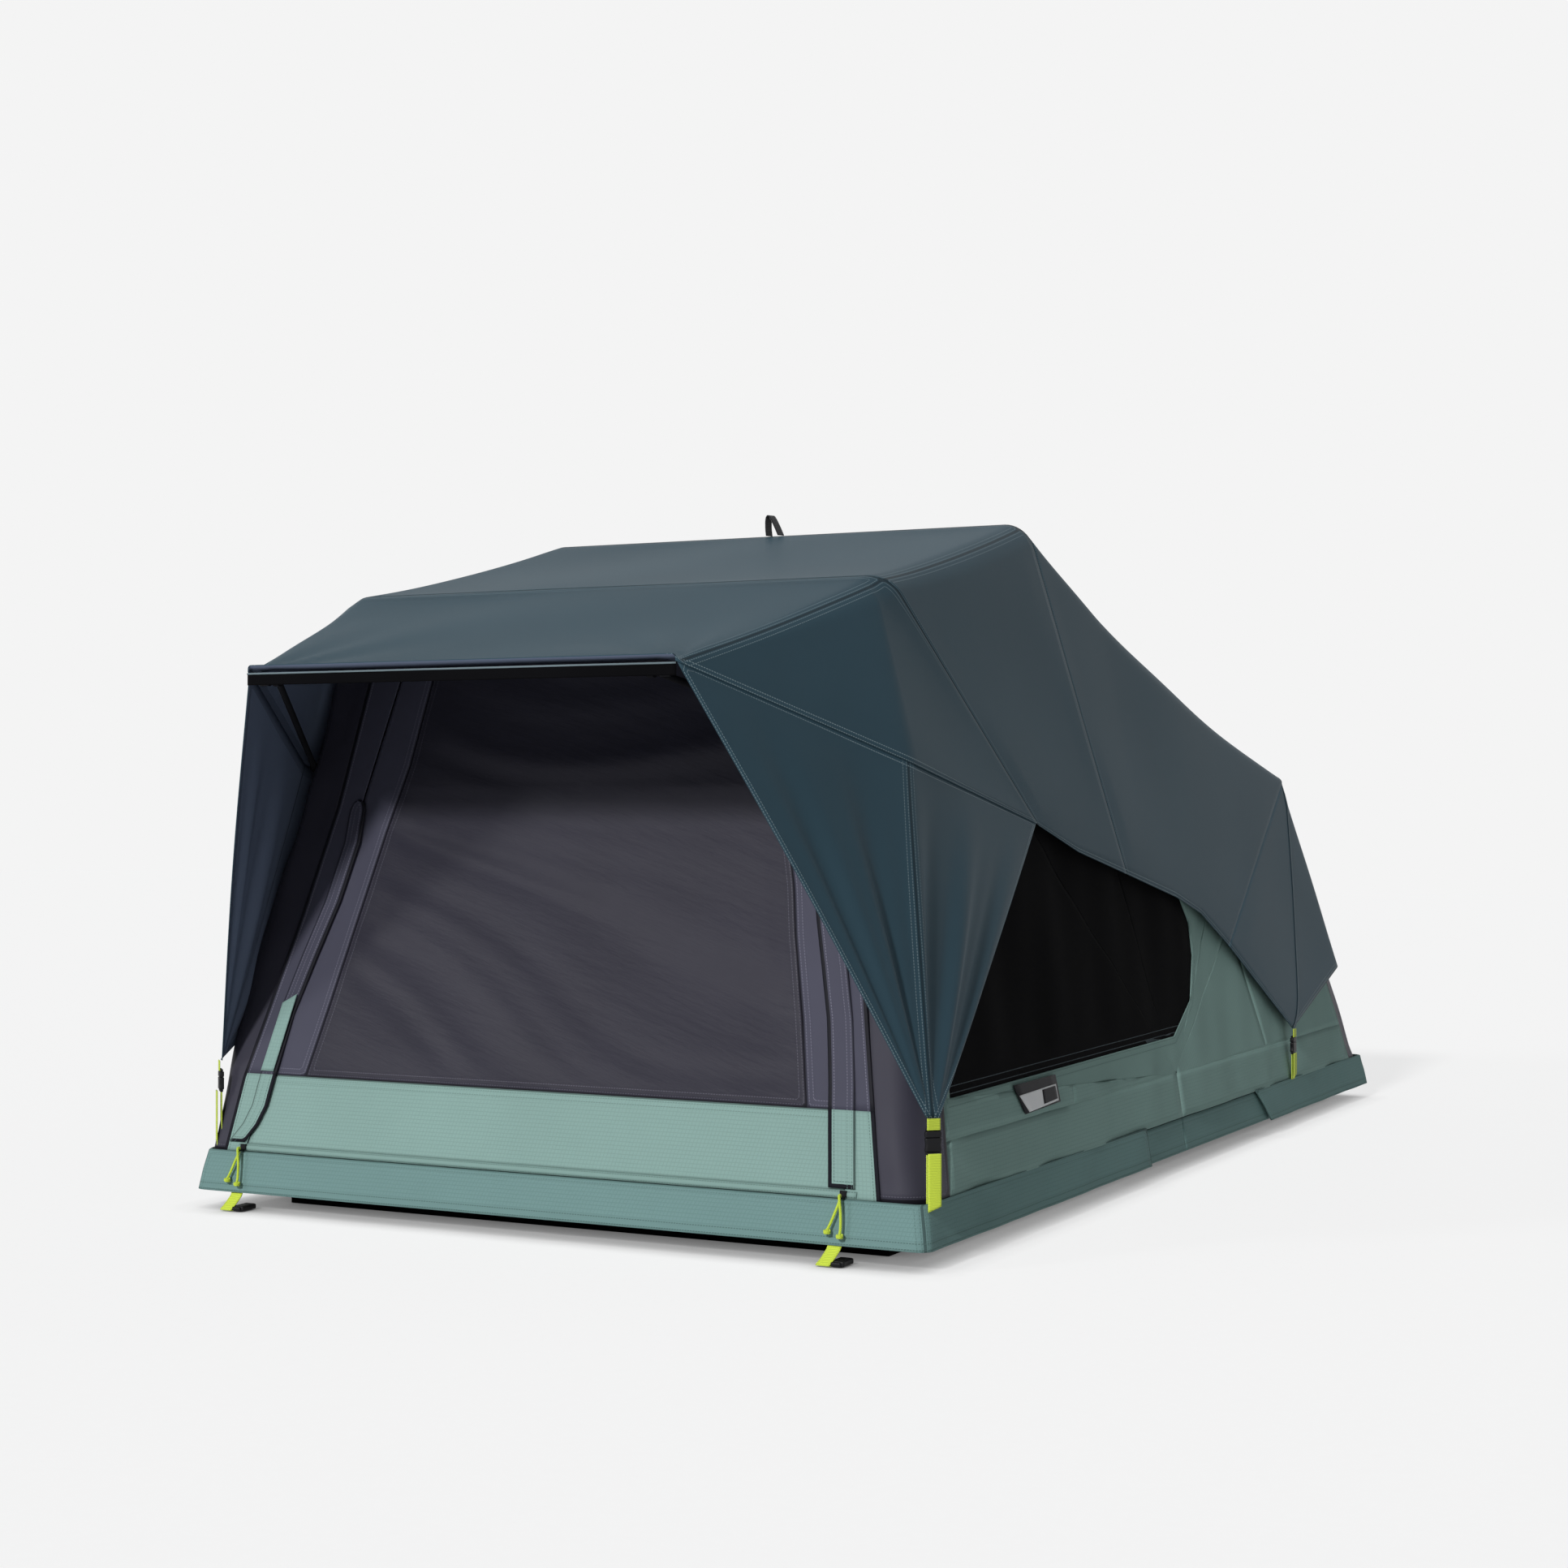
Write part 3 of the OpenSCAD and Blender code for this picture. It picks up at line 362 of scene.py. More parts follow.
def cloth_finish(name, colour, roughness, specular, hem=None, thread=None, rows=(), hem_width=0.018,
                 sheen=0.0, check=0.0, weave=0.0011, cloud=0.16, crinkle=0.35, crease_length=1.6,
                 crease_turn=0.5, crease_scale=26.0):
    """Woven cloth: cloudy colour, crossed weave, creases drawn out along one direction, a hem colour
    near its edges, a line of painted shade in the fold of each seam, and rows of stitches. Rows and
    hem width are distances from the edge, and check and weave are periods, all in metres."""
    finish = Finish(name, roughness, specular, sheen)
    edge, run = finish.attribute("edge"), finish.attribute("run")
    seam, seam_run = finish.attribute("seam"), finish.attribute("seam_run")
    flat = finish.cloth_places()
    cloud_value = finish.noise(finish.places(), 4.0, 4.0)
    body = finish.ramp(cloud_value, [(0.25, tinted(colour, 1 - cloud)), (0.75, tinted(colour, 1 + cloud))])
    warp = finish.bands(flat, weave, "X")
    weft = finish.bands(flat, weave, "Y")
    woven = finish.calc("MULTIPLY", warp, weft)
    height = finish.calc("MULTIPLY", woven, RELIEF["weave"])
    if check:
        line_x = finish.calc("GREATER_THAN", finish.bands(flat, check, "X"), CHECK_START)
        line_y = finish.calc("GREATER_THAN", finish.bands(flat, check, "Y"), CHECK_START)
        lines = finish.calc("MAXIMUM", line_x, line_y)
        body = finish.mix(finish.calc("MULTIPLY", lines, CHECK_STRENGTH), body, tinted(colour, CHECK_SHADE))
        height = finish.raised(height, lines, RELIEF["check"])
    drawn_out = finish.cloth_places((crease_length, 1.0, 1.0), crease_turn)
    height = finish.raised(height, finish.noise(drawn_out, crease_scale, 5.0, 0.6), crinkle)
    if hem is not None:
        on_hem = finish.calc("LESS_THAN", edge, hem_width)
        body = finish.mix(on_hem, body, hem)
        height = finish.raised(height, on_hem, RELIEF["hem"])
    # Painted shade: a narrow line along each sewn seam is darkened to 0.45 of the cloth's colour, as the fold
    # would be shaded.
    seam_shade = finish.calc("LESS_THAN", seam, SEAM_SHADE_WIDTH)
    body = finish.mix(seam_shade, body, tinted(colour, 0.45))
    lap = finish.calc("LESS_THAN", seam, LAP_WIDTH)
    height = finish.raised(height, lap, RELIEF["lap"])
    if thread is not None:
        sewn = stitches(finish, edge, run, rows)
        felled = stitches(finish, seam, seam_run, FELLED_ROWS)
        body = finish.mix(finish.calc("MULTIPLY", felled, 0.6), body, thread)
        body = finish.mix(sewn, body, thread)
        height = finish.raised(height, sewn, RELIEF["thread"])
    finish.colour(body)
    finish.bump(height, RELIEF_DEPTH, RELIEF_STRENGTH)
    return finish.material


FLY_COLOUR = paint(48, 70, 81)
SAGE_COLOUR = paint(134, 163, 157)
# The skirt is the sage cloth made darker, with a darker thread too: painted shade for the skirt's outward lean.
SHADED_SKIRT_COLOUR = paint(112, 143, 141)
CHARCOAL_COLOUR = paint(70, 70, 84)
SLEEVE_COLOUR = paint(56, 55, 66)
DOOR_COLOUR = paint(46, 45, 55)
# The lining is partly its own lighter coat and partly painted light: its colour is lifted so the inner wings look
# lit through the cloth.
LINING_COLOUR = paint(106, 117, 139)
SAGE_THREAD, DARK_HEM_SHADE = paint(104, 130, 125), 0.16
WIDE_ROWS, CHECK_PERIOD = (0.003, 0.012), 0.0062
NARROW_ROW, NARROW_HEM = (0.0095,), 0.006
fly_cloth = cloth_finish("fly_fabric", FLY_COLOUR, 0.52, 0.10, tinted(FLY_COLOUR, 1.1), paint(124, 142, 148),
                         (0.002, 0.0085), 0.0105, weave=0.0013, cloud=0.06, crinkle=0.15)
lining_cloth = cloth_finish("fly_lining", LINING_COLOUR, 0.7, 0.05, tinted(LINING_COLOUR, 0.7), cloud=0.06)
sage_cloth = cloth_finish("green_fabric", SAGE_COLOUR, 0.7, 0.08, tinted(SAGE_COLOUR, 0.94), SAGE_THREAD,
                          WIDE_ROWS, 0.015, check=CHECK_PERIOD, cloud=0.05)
flap_foot_cloth = cloth_finish("flap_foot_fabric", SAGE_COLOUR, 0.7, 0.08,
                               tinted(CHARCOAL_COLOUR, DARK_HEM_SHADE), SAGE_THREAD, NARROW_ROW, NARROW_HEM,
                               check=CHECK_PERIOD, cloud=0.05)
# Painted shade: the skirt's colour and thread are the sage made darker for its lean.
skirt_cloth = cloth_finish("skirt_fabric", SHADED_SKIRT_COLOUR, 0.7, 0.08, tinted(SHADED_SKIRT_COLOUR, 0.94),
                           paint(88, 114, 111), WIDE_ROWS, 0.015, check=CHECK_PERIOD, cloud=0.05)
charcoal_cloth = cloth_finish("charcoal_fabric", CHARCOAL_COLOUR, 0.55, 0.12,
                              tinted(CHARCOAL_COLOUR, DARK_HEM_SHADE), paint(112, 111, 126), NARROW_ROW,
                              NARROW_HEM, cloud=0.08)
sleeve_cloth = cloth_finish("sleeve_fabric", SLEEVE_COLOUR, 0.5, 0.15, tinted(SLEEVE_COLOUR, 0.3),
                            paint(86, 85, 97), NARROW_ROW, NARROW_HEM, cloud=0.1)
door_cloth = cloth_finish("door_fabric", DOOR_COLOUR, 0.42, 0.14, tinted(DOOR_COLOUR, 0.5), paint(88, 86, 98),
                          (0.004,), NARROW_HEM, cloud=0.1, crinkle=2.2, crease_length=6.0, crease_turn=-0.30,
                          crease_scale=34.0)
window_cloth = cloth_finish("window_mesh", paint(14, 14, 15), 0.9, 0.02, None, paint(96, 106, 110),
                            (0.006, 0.016), weave=0.0016)
tape_cloth = cloth_finish("black_tape", paint(28, 28, 31), 0.65, 0.15)
# Painted shade: the awning's hem is near black so that it merges with the shade under the awning's edge.
hem_shade_cloth = cloth_finish("hem_tape", paint(14, 14, 16), 0.9, 0.02)
pale_cloth = cloth_finish("pale_tape", paint(112, 127, 133), 0.7, 0.1)
white_cloth = cloth_finish("white_tape", paint(238, 239, 240), 0.7, 0.1, cloud=0.04)
print("cloth finishes", [m.name for m in bpy.data.materials])

# %% [markdown]
# ## Surfaces: grids made into cloth
#
# A piece of cloth is a grid of points: one index runs along a seam, the other across the panel.
# The grid gives the faces by arithmetic, and the same arrays give the flat coordinates and the
# distance to the sewn edges. Several grids can make one piece, as the two strips and the head of
# a door frame do. Solidify then gives the cloth its thickness towards the inside.

# %% Grid helpers
CLOTH, THIN = 0.0015, 0.001


def lerp(a, b, share):
    """A point a share of the way from a to b."""
    return a + (b - a) * share


def along(path, share):
    """Points on a path whose steps each take an equal part of the share from 0 to 1."""
    path = np.array(path, float)
    knots = np.linspace(0.0, 1.0, len(path))
    return np.stack([np.interp(share, knots, path[:, k]) for k in range(path.shape[1])], axis=-1)


def run_lengths(points, axis):
    """Distance walked along one index of a grid, from its first point."""
    steps = np.linalg.norm(np.diff(points, axis=axis), axis=-1)
    start = np.zeros_like(np.take(steps, [0], axis=axis))
    return np.concatenate([start, np.cumsum(steps, axis=axis)], axis=axis)


def normals_of(points):
    """Outward normals of a grid: the step along the first index crossed with the second."""
    first = np.gradient(points, axis=0)
    second = np.gradient(points, axis=1)
    normal = np.cross(first, second)
    return normal / np.maximum(np.linalg.norm(normal, axis=-1, keepdims=True), 1e-12)


def swell(points, amount):
    """Pushes each point along its normal by an amount."""
    return points + normals_of(points) * np.asarray(amount)[..., None]


def nearest(distances, shape):
    """The least of several seam distances at every point, and the place along that seam."""
    closest = np.full(shape, 9.0)
    place_along = np.zeros(shape)
    for distance, place in distances:
        closer = distance < closest
        closest = np.where(closer, distance, closest)
        place_along = np.where(closer, place, place_along)
    return closest, place_along


def patch(points, bound=(), sewn=(), bound_lines=(), sewn_lines=()):
    """A grid with its flat coordinates and its distances to bound edges and to sewn seams.
    Sides are named first_start, first_end, second_start and second_end after the grid's indices;
    lines are further (distance, place along) arrays."""
    points = np.array(points, float)
    u = run_lengths(points, 0)
    v = run_lengths(points, 1)
    sides = {
        "first_start": (u, v),
        "first_end": (u[-1:, :] - u, v),
        "second_start": (v, u),
        "second_end": (v[:, -1:] - v, u),
    }
    edge, run = nearest([sides[name] for name in bound] + list(bound_lines), points.shape[:2])
    seam, seam_run = nearest([sides[name] for name in sewn] + list(sewn_lines), points.shape[:2])
    return {"points": points, "u": u, "v": v, "edge": edge, "run": run, "seam": seam, "seam_run": seam_run}


def cloth_piece(name, patches, finish, thickness=CLOTH):
    """One mesh from one or more grids, with flat coordinates, seam numbers and a thickness inwards."""
    corners, quads, flat = [], [], []
    start = 0
    for part in patches:
        rows, columns = part["points"].shape[:2]
        index = start + np.arange(rows * columns).reshape(rows, columns)
        cells = np.stack([index[:-1, :-1], index[1:, :-1], index[1:, 1:], index[:-1, 1:]], axis=-1)
        corners.append(to_frame(part["points"]).reshape(-1, 3))
        quads.append(cells.reshape(-1, 4))
        flat.append(np.stack([part["u"], part["v"]], axis=-1).reshape(-1, 2))
        start += rows * columns
    corners, quads, flat = np.concatenate(corners), np.concatenate(quads), np.concatenate(flat)
    mesh = bpy.data.meshes.new(name)
    mesh.from_pydata(corners.tolist(), [], quads.tolist())
    layer = mesh.uv_layers.new(name="cloth")
    layer.data.foreach_set("uv", flat[quads.ravel()].astype(np.float32).ravel())
    for label in ("edge", "run", "seam", "seam_run"):
        stored = mesh.attributes.new(label, "FLOAT", "POINT")
        values = np.concatenate([part[label].ravel() for part in patches])
        stored.data.foreach_set("value", values.astype(np.float32))
    mesh.polygons.foreach_set("use_smooth", np.ones(len(quads), bool))
    mesh.materials.append(finish)
    mesh.update()
    piece = bpy.data.objects.new(name, mesh)
    bpy.context.collection.objects.link(piece)
    if thickness:
        solid = piece.modifiers.new("cloth_thickness", "SOLIDIFY")
        solid.thickness = thickness
        solid.offset = -1.0
    return piece


def stand_in(name, patches, finish, node, thickness=CLOTH):
    """A piece of cloth with the given finish that takes the place of a CAD node."""
    piece = cloth_piece(name, patches, finish, thickness)
    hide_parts(node)
    return piece


def close_seam(piece, reach):
    """Welds the two ends of rings, and their poles, within a reach."""
    weld = piece.modifiers.new("close_seam", "WELD")
    weld.merge_threshold = reach


def line_with(piece, finish):
    """Gives the inner face of a piece of cloth a finish of its own."""
    piece.data.materials.append(finish)
    piece.modifiers["cloth_thickness"].material_offset = 1


def mirrored(part):
    """The same grid on the other side: x turned over and the rows reversed, so it still faces out."""
    turned = {key: values[::-1].copy() for key, values in part.items()}
    turned["points"][..., 0] *= -1.0
    return turned


def flat_area(patches):
    """Area of the grids, each cell taken as two triangles."""
    total = 0.0
    for part in patches:
        p = part["points"]
        one = np.cross(p[1:, :-1] - p[:-1, :-1], p[1:, 1:] - p[:-1, :-1])
        two = np.cross(p[1:, 1:] - p[:-1, :-1], p[:-1, 1:] - p[:-1, :-1])
        total += 0.5 * (np.linalg.norm(one, axis=-1).sum() + np.linalg.norm(two, axis=-1).sum())
    return float(total)


def declare_cloth(patches):
    """The area of the grids. Declares a sheet: its longest run is the length, and its width makes
    up the area with a tenth cut away.
    """
    area = flat_area(patches)
    return area


print("grid helpers ready")

# %% [markdown]
# ## Folding with the frame
#
# The fabrics hang between the hoops like the folds of a fan. When the tent closes, every point
# turns about the hinge line with a share of the turn of the two bodies beside it.

# %% Fan helper
HINGE = np.array([HINGE_FROM_FRONT, HINGE_HEIGHT])
CREST = np.array([0.206, 0.998])
RIDGE = np.array([0.793, 1.130])
REAR = np.array([2.105, 0.711])


def hoop_angle(top):
    """Angle of a hoop about the hinge in degrees, from the (y, z) of its top, to four decimals."""
    return round(math.degrees(math.atan2(top[1] - HINGE[1], HINGE[0] - top[0])), 4)


HOOP_ANGLES = {"front_base": 0.0, "front_hoop_body": hoop_angle(CREST), "ridge_hoop_body": hoop_angle(RIDGE),
               "rear_hoop_body": hoop_angle(REAR), "rear_base": 180.0}


def angles_about_hinge(points):
    """Angle about the hinge in degrees, from 0 at the front to 180 at the back."""
    forward = joints["tent_fold"]["pos_m"][1] - points[:, 1]
    return np.degrees(np.arctan2(points[:, 2] - HINGE_HEIGHT, forward))


def corners_of(piece):
    """All points of a piece's mesh as an array."""
    values = np.empty(len(piece.data.vertices) * 3, np.float32)
    piece.data.vertices.foreach_get("co", values)
    return values.reshape(-1, 3).astype(float)


def share_turn(piece, body_a, body_b, shares):
    """Blends a piece between two bodies with the given share for every point."""
    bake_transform(piece, body_a, body_b, (0.0, 0.0, 0.0), (0.0, 1.0, 0.0))
    stored = piece.data.attributes["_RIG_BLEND"]
    stored.data.foreach_set("value", np.clip(shares, 0.0, 1.0).astype(np.float32))


def fan(piece, body_a, body_b):
    """Each point takes the share of its angle between the two bodies' own angles."""
    angles = angles_about_hinge(corners_of(piece))
    angles = np.where(angles < -90.0, angles + 360.0, angles)
    low, high = HOOP_ANGLES[body_a], HOOP_ANGLES[body_b]
    share_turn(piece, body_a, body_b, (angles - low) / (high - low))


print("hoops at", list(HOOP_ANGLES.values()), "degrees")

# %% [markdown]
# ## The fly: one section carried along the tent
#
# Over the hoops the fly is a tunnel: a straight side, a rounded shoulder, a nearly flat roof, and
# the same again on the left. It could be modelled panel by panel, but one section function keeps
# the seams exactly on the hoops. A panel is that section carried from hoop to hoop, with the roof
# sagging a little between them, as coated cloth does.

# %% Fly section
HALF_WIDTH = 0.650
TAIL = np.array([2.290, 0.305])
EDGE_END = np.array([1.838, 0.195])
AWNING_CORNER = np.array([0.369, -0.215, 0.852])
WING_SEAT = np.array([0.555, 0.161, 0.714])
WING_FOOT = np.array([0.643, 0.035, 0.215])
LEFT_WING_FOOT = np.array([0.625, 0.035, 0.237])
FLY_EDGE, FLY_INSET, SIDE_LEAN, ROOF_LEAN = 0.195, 0.008, 0.183, 0.105
SHOULDER = 0.040
SIDE_STEPS, SHOULDER_STEPS, ROOF_STEPS = 26, 10, 44


def fly_half_width(z):
    """Half the fly's width at a height: it narrows by 0.183 per metre to the crest, then by 0.105."""
    side_part, roof_part = np.minimum(z, CREST[1]) - FLY_EDGE, np.maximum(0.0, z - CREST[1])
    return HALF_WIDTH - FLY_INSET - SIDE_LEAN * side_part - ROOF_LEAN * roof_part


def on_hoop(top, height):
    """The point at a height on the straight line from the hinge to a hoop's top, in side view."""
    return lerp(HINGE, top, (height - HINGE[1]) / (top[1] - HINGE[1]))


def on_fly(side_points):
    """Side-view points set out to the fly's half width: (y, z) becomes (x, y, z)."""
    side_points = np.asarray(side_points, float)
    return np.concatenate([fly_half_width(side_points[..., 1:2]), side_points], axis=-1)


def fly_section(low, top, shoulder):
    """From the right lower edge straight up to the shoulder, a quarter circle over it, across the
    roof, and mirrored down to the left lower edge."""
    reach = np.linalg.norm(top - low, axis=-1)[:, None]
    shoulder = np.broadcast_to(np.asarray(shoulder, float), len(low))[:, None]
    straight = np.linspace(0.0, 1.0, SIDE_STEPS, endpoint=False)[None] * (1.0 - shoulder / reach)
    turn = np.linspace(0.0, math.pi / 2, SHOULDER_STEPS)[None]
    arc = 1.0 - shoulder / reach * (1.0 - np.sin(turn))
    rise = np.concatenate([straight, arc], axis=1)
    draw_in = np.concatenate([np.zeros_like(straight), shoulder * (1.0 - np.cos(turn))], axis=1)
    right = low[:, None] + (top - low)[:, None] * rise[..., None]
    right[..., 0] -= draw_in
    across = np.linspace(1.0, -1.0, ROOF_STEPS)[1:-1][None] * (top[:, :1] - shoulder)
    roof = np.stack([across, np.broadcast_to(top[:, 1:2], across.shape),
                     np.broadcast_to(top[:, 2:3], across.shape)], axis=-1)
    left = right[:, ::-1] * np.array([-1.0, 1.0, 1.0])
    return np.concatenate([right, roof, left], axis=1)


def shoulder_seams(points):
    """Distances to the sewn lines that run along the two shoulders, and the places along them."""
    across = run_lengths(points, 1)
    back = run_lengths(points, 0)
    column = SIDE_STEPS + SHOULDER_STEPS // 2
    return [(np.abs(across - across[:, [column]]), back), (np.abs(across - across[:, [-1 - column]]), back)]


def roof_line(start, end, share, sag):
    """Side-view line between two hoops that hangs by sag at its middle, as a parabola."""
    line = lerp(start[None], end[None], share[:, None])
    line[:, 1] -= 4.0 * sag * share * (1.0 - share)
    return line


print("fly edge at the front hoop", np.round(on_fly(on_hoop(CREST, 0.620)), 3))

# %% [markdown]
# ## Wrinkles in stretched cloth
#
# Stretched cloth is never quite flat: long shallow waves run between the points that pull on it,
# and short folds fan out from a corner. Both are sums of sines, one over the panel's flat
# coordinates and one over the angle about the corner. A few millimetres are enough to break up
# the light.

# %% Wrinkle helpers
def waves(u, v, parts):
    """Sum of sines: each part is (waves per metre along u, along v, phase, height in metres)."""
    total = np.zeros_like(u)
    for along_u, along_v, phase, height in parts:
        total += height * np.sin(2.0 * math.pi * (along_u * u + along_v * v) + phase)
    return total


def corner_folds(points, corner, axis_a, axis_b, count, reach, height):
    """Folds that fan out from a corner: a sine of the angle about it, fading with distance."""
    apart = points - np.asarray(corner)
    angle = np.arctan2(apart @ np.asarray(axis_b, float), apart @ np.asarray(axis_a, float))
    distance = np.linalg.norm(apart, axis=-1)
    fade = np.exp(-distance / reach) * np.clip(distance / 0.03, 0.0, 1.0)
    return height * np.sin(count * angle) * fade


def held_flat(points, width=0.06):
    """0 at the grid's four sides and 1 further in than width, so that seams stay in place."""
    u, v = run_lengths(points, 0), run_lengths(points, 1)
    sides = np.minimum(np.minimum(u, u[-1:] - u), np.minimum(v, v[:, -1:] - v))
    return np.clip(sides / width, 0.0, 1.0)


print("wrinkle helpers ready")

# %% [markdown]
# ## Roof panels of the fly
#
# Three panels lie behind the awning: from the front hoop to the ridge, from the ridge to the rear
# hoop with the deep opening over the side window, and the back that closes down to the base. Each
# is the section above with its own lower edge. They fold as a fan, so each takes its share of the
# turn of the two hoops beside it.

# %% Roof panels
FRONT_EDGE = on_fly([on_hoop(CREST, 0.620), (0.799, 0.573), on_hoop(RIDGE, 0.530)])
REAR_EDGE = on_fly([on_hoop(RIDGE, 0.530), (1.140, 0.505), (1.260, 0.481), (1.383, 0.447),
                    on_hoop(REAR, 0.379)])
BACK_EDGE = on_fly([on_hoop(REAR, 0.379), EDGE_END])
LONG_RIPPLES = [(0.4, 1.9, 0.3, 0.0016), (1.3, 0.7, 1.1, 0.0012), (2.1, -1.2, 2.4, 0.0008)]


def roof_panel(node, edge_path, start, end, sag, shoulder, steps, bodies, sewn):
    """A section carried from one hoop to the next, wrinkled between its seams."""
    share = np.linspace(0.0, 1.0, steps)
    top = on_fly(roof_line(start, end, share, sag))
    points = fly_section(along(edge_path, share), top, shoulder)
    u, v = run_lengths(points, 0), run_lengths(points, 1)
    points = swell(points, waves(u, v, LONG_RIPPLES) * held_flat(points))
    part = patch(points, bound=("second_start", "second_end"), sewn=sewn, sewn_lines=shoulder_seams(points))
    piece = stand_in(f"{node}_cloth", [part], fly_cloth, node)
    fan(piece, *bodies)
    area = declare_cloth([part])
    print(piece.name, "area", round(area, 3), "m2")
    return points


roof_panel("fly_front_roof", FRONT_EDGE, CREST, RIDGE, sag=0.008, shoulder=SHOULDER, steps=40,
           bodies=("front_hoop_body", "ridge_hoop_body"), sewn=("first_start", "first_end"))
roof_panel("fly_rear_roof", REAR_EDGE, RIDGE, REAR, sag=0.037, shoulder=SHOULDER, steps=80,
           bodies=("ridge_hoop_body", "rear_hoop_body"), sewn=("first_start",))
back_points = roof_panel("fly_back", BACK_EDGE, REAR, TAIL, sag=0.0, shoulder=0.050, steps=40,
                         bodies=("rear_hoop_body", "rear_base"), sewn=("first_end",))

# %% Rear seam of the fly
SEAM_HALF_WIDTH, SEAM_PROUD, SEAM_BOW = 0.0045, 0.0012, 1.5


def on_grid(points, row, column):
    """Points between a grid's own points, at fractional rows and columns, by linear shares."""
    low_row = np.minimum(row.astype(int), points.shape[0] - 2)
    low_column = np.minimum(column.astype(int), points.shape[1] - 2)
    down, over = (row - low_row)[:, None], (column - low_column)[:, None]
    near = lerp(points[low_row, low_column], points[low_row, low_column + 1], over)
    far = lerp(points[low_row + 1, low_column], points[low_row + 1, low_column + 1], over)
    return lerp(near, far, down)


def seam_patch(points):
    """A felled seam on the right of the back panel: a strip that bows from the hoop's shoulder down to
    the strap, a millimetre proud of the cloth."""
    share = np.linspace(0.0, 1.0, 120)
    row = (points.shape[0] - 1) * (1.0 - (1.0 - share) ** SEAM_BOW)
    column = (SIDE_STEPS + 2) * (1.0 - share)
    line = on_grid(points, row, column)
    out = on_grid(normals_of(points), row, column)
    across = np.cross(np.gradient(line, axis=0), out)
    across /= np.linalg.norm(across, axis=-1, keepdims=True)
    offset = np.linspace(1.0, -1.0, 9)[None, :, None] * SEAM_HALF_WIDTH
    strip = line[:, None] + across[:, None] * offset + out[:, None] * SEAM_PROUD
    return patch(strip, sewn=("second_start",))


rear_seam = seam_patch(back_points)
seam_piece = stand_in("fly_back_seam_cloth", [rear_seam, mirrored(rear_seam)], fly_cloth, "fly_back",
                      THIN)
fan(seam_piece, "rear_hoop_body", "rear_base")
print("rear seam", round(float(rear_seam["u"].max()), 3), "m long on each side")

# %% [markdown]
# ## Awning and wings
#
# In front of the first hoop the fly runs out to a bar held by two struts, and its sides wrap over
# the corner of the inner tent before they come forward to the awning's corners. Below that edge a
# triangular wing hangs to a strap at the base corner. The awning is the same section with a
# shoulder that tightens towards the bar; the wing is a grid from its long top edge to its narrow
# foot, with shallow folds running down to the strap.

# %% Awning
WING_BACK = on_fly(on_hoop(CREST, 0.620))
WING_EDGE = [AWNING_CORNER, WING_SEAT, WING_BACK]
CREST_AXIS = joints["awning_fold"]["pos_m"]
AWNING_FOLD, BAR_ANGLE = 119.79, 198.956


def awning_fan(piece):
    """Share of the awning's fold from a point's angle about the crest: 1 at the bar, 0 at the hoop."""
    points = corners_of(piece)
    back, up = points[:, 1] - CREST_AXIS[1], points[:, 2] - CREST_AXIS[2]
    angle = np.degrees(np.arctan2(up, back)) % 360.0
    share_turn(piece, "front_hoop_body", "awning", 1.0 - (angle - BAR_ANGLE) / AWNING_FOLD)


AWNING_END, AWNING_SAG, BAR_LIFT, BAR_SHOULDER = 0.997, 0.005, 0.012, 0.006
AWNING_RIPPLES = [(0.8, 1.4, 0.0, 0.0014), (2.6, 0.5, 1.3, 0.0008)]
share = np.linspace(0.0, AWNING_END, 60)
roof_share = np.interp(share / AWNING_END, [0.0, 0.5, 1.0], [0.0, 0.93, 0.9985])
front_line = roof_line(AWNING_CORNER[1:], CREST, roof_share, AWNING_SAG)
top = np.column_stack([lerp(AWNING_CORNER[0], fly_half_width(CREST[1]), roof_share), front_line])
low = along(WING_EDGE, share) + np.array([0.0, 0.0, CLOTH])
top[0, 2] += BAR_LIFT
awning_points = fly_section(low, top, lerp(BAR_SHOULDER, SHOULDER, roof_share))
u, v = run_lengths(awning_points, 0), run_lengths(awning_points, 1)
pull = sum(corner_folds(awning_points, AWNING_CORNER * np.array([side, 1.0, 1.0]), (0, 1, 0), (side, 0, 0.6),
                        count=9.0, reach=0.16, height=0.0035) for side in (1.0, -1.0))
soft = waves(u, v, AWNING_RIPPLES)
awning_points = swell(awning_points, (pull + soft) * held_flat(awning_points, 0.05))
awning_part = patch(awning_points, bound=("first_start", "second_start", "second_end"), sewn=("first_end",),
                    sewn_lines=shoulder_seams(awning_points))
awning = stand_in("fly_awning_cloth", [awning_part], fly_cloth, "fly_awning")
line_with(awning, lining_cloth)
awning_fan(awning)
awning_area = declare_cloth([awning_part])
print("awning area", round(awning_area, 3), "m2")

# %% Awning hem
HEM_FOOT, HEM_WAVE, BINDING_PROUD = 0.8335, 0.0006, 0.0012
hem_x = np.linspace(-AWNING_CORNER[0], AWNING_CORNER[0], 90)[:, None]
hem_y = AWNING_CORNER[1] + HEM_WAVE * np.sin(23.0 * hem_x)
hem_z = np.linspace(HEM_FOOT, AWNING_CORNER[2], 8)[None]
hem_points = np.stack(np.broadcast_arrays(hem_x, hem_y, hem_z), axis=-1)
binding_points = hem_points[:, 6:] - np.array([0.0, BINDING_PROUD, 0.0])


def awning_strip(name, points, finish):
    """A strip along the awning's front edge, which folds with it."""
    strip = stand_in(name, [patch(points)], finish, "fly_awning", THIN)
    awning_fan(strip)
    return strip


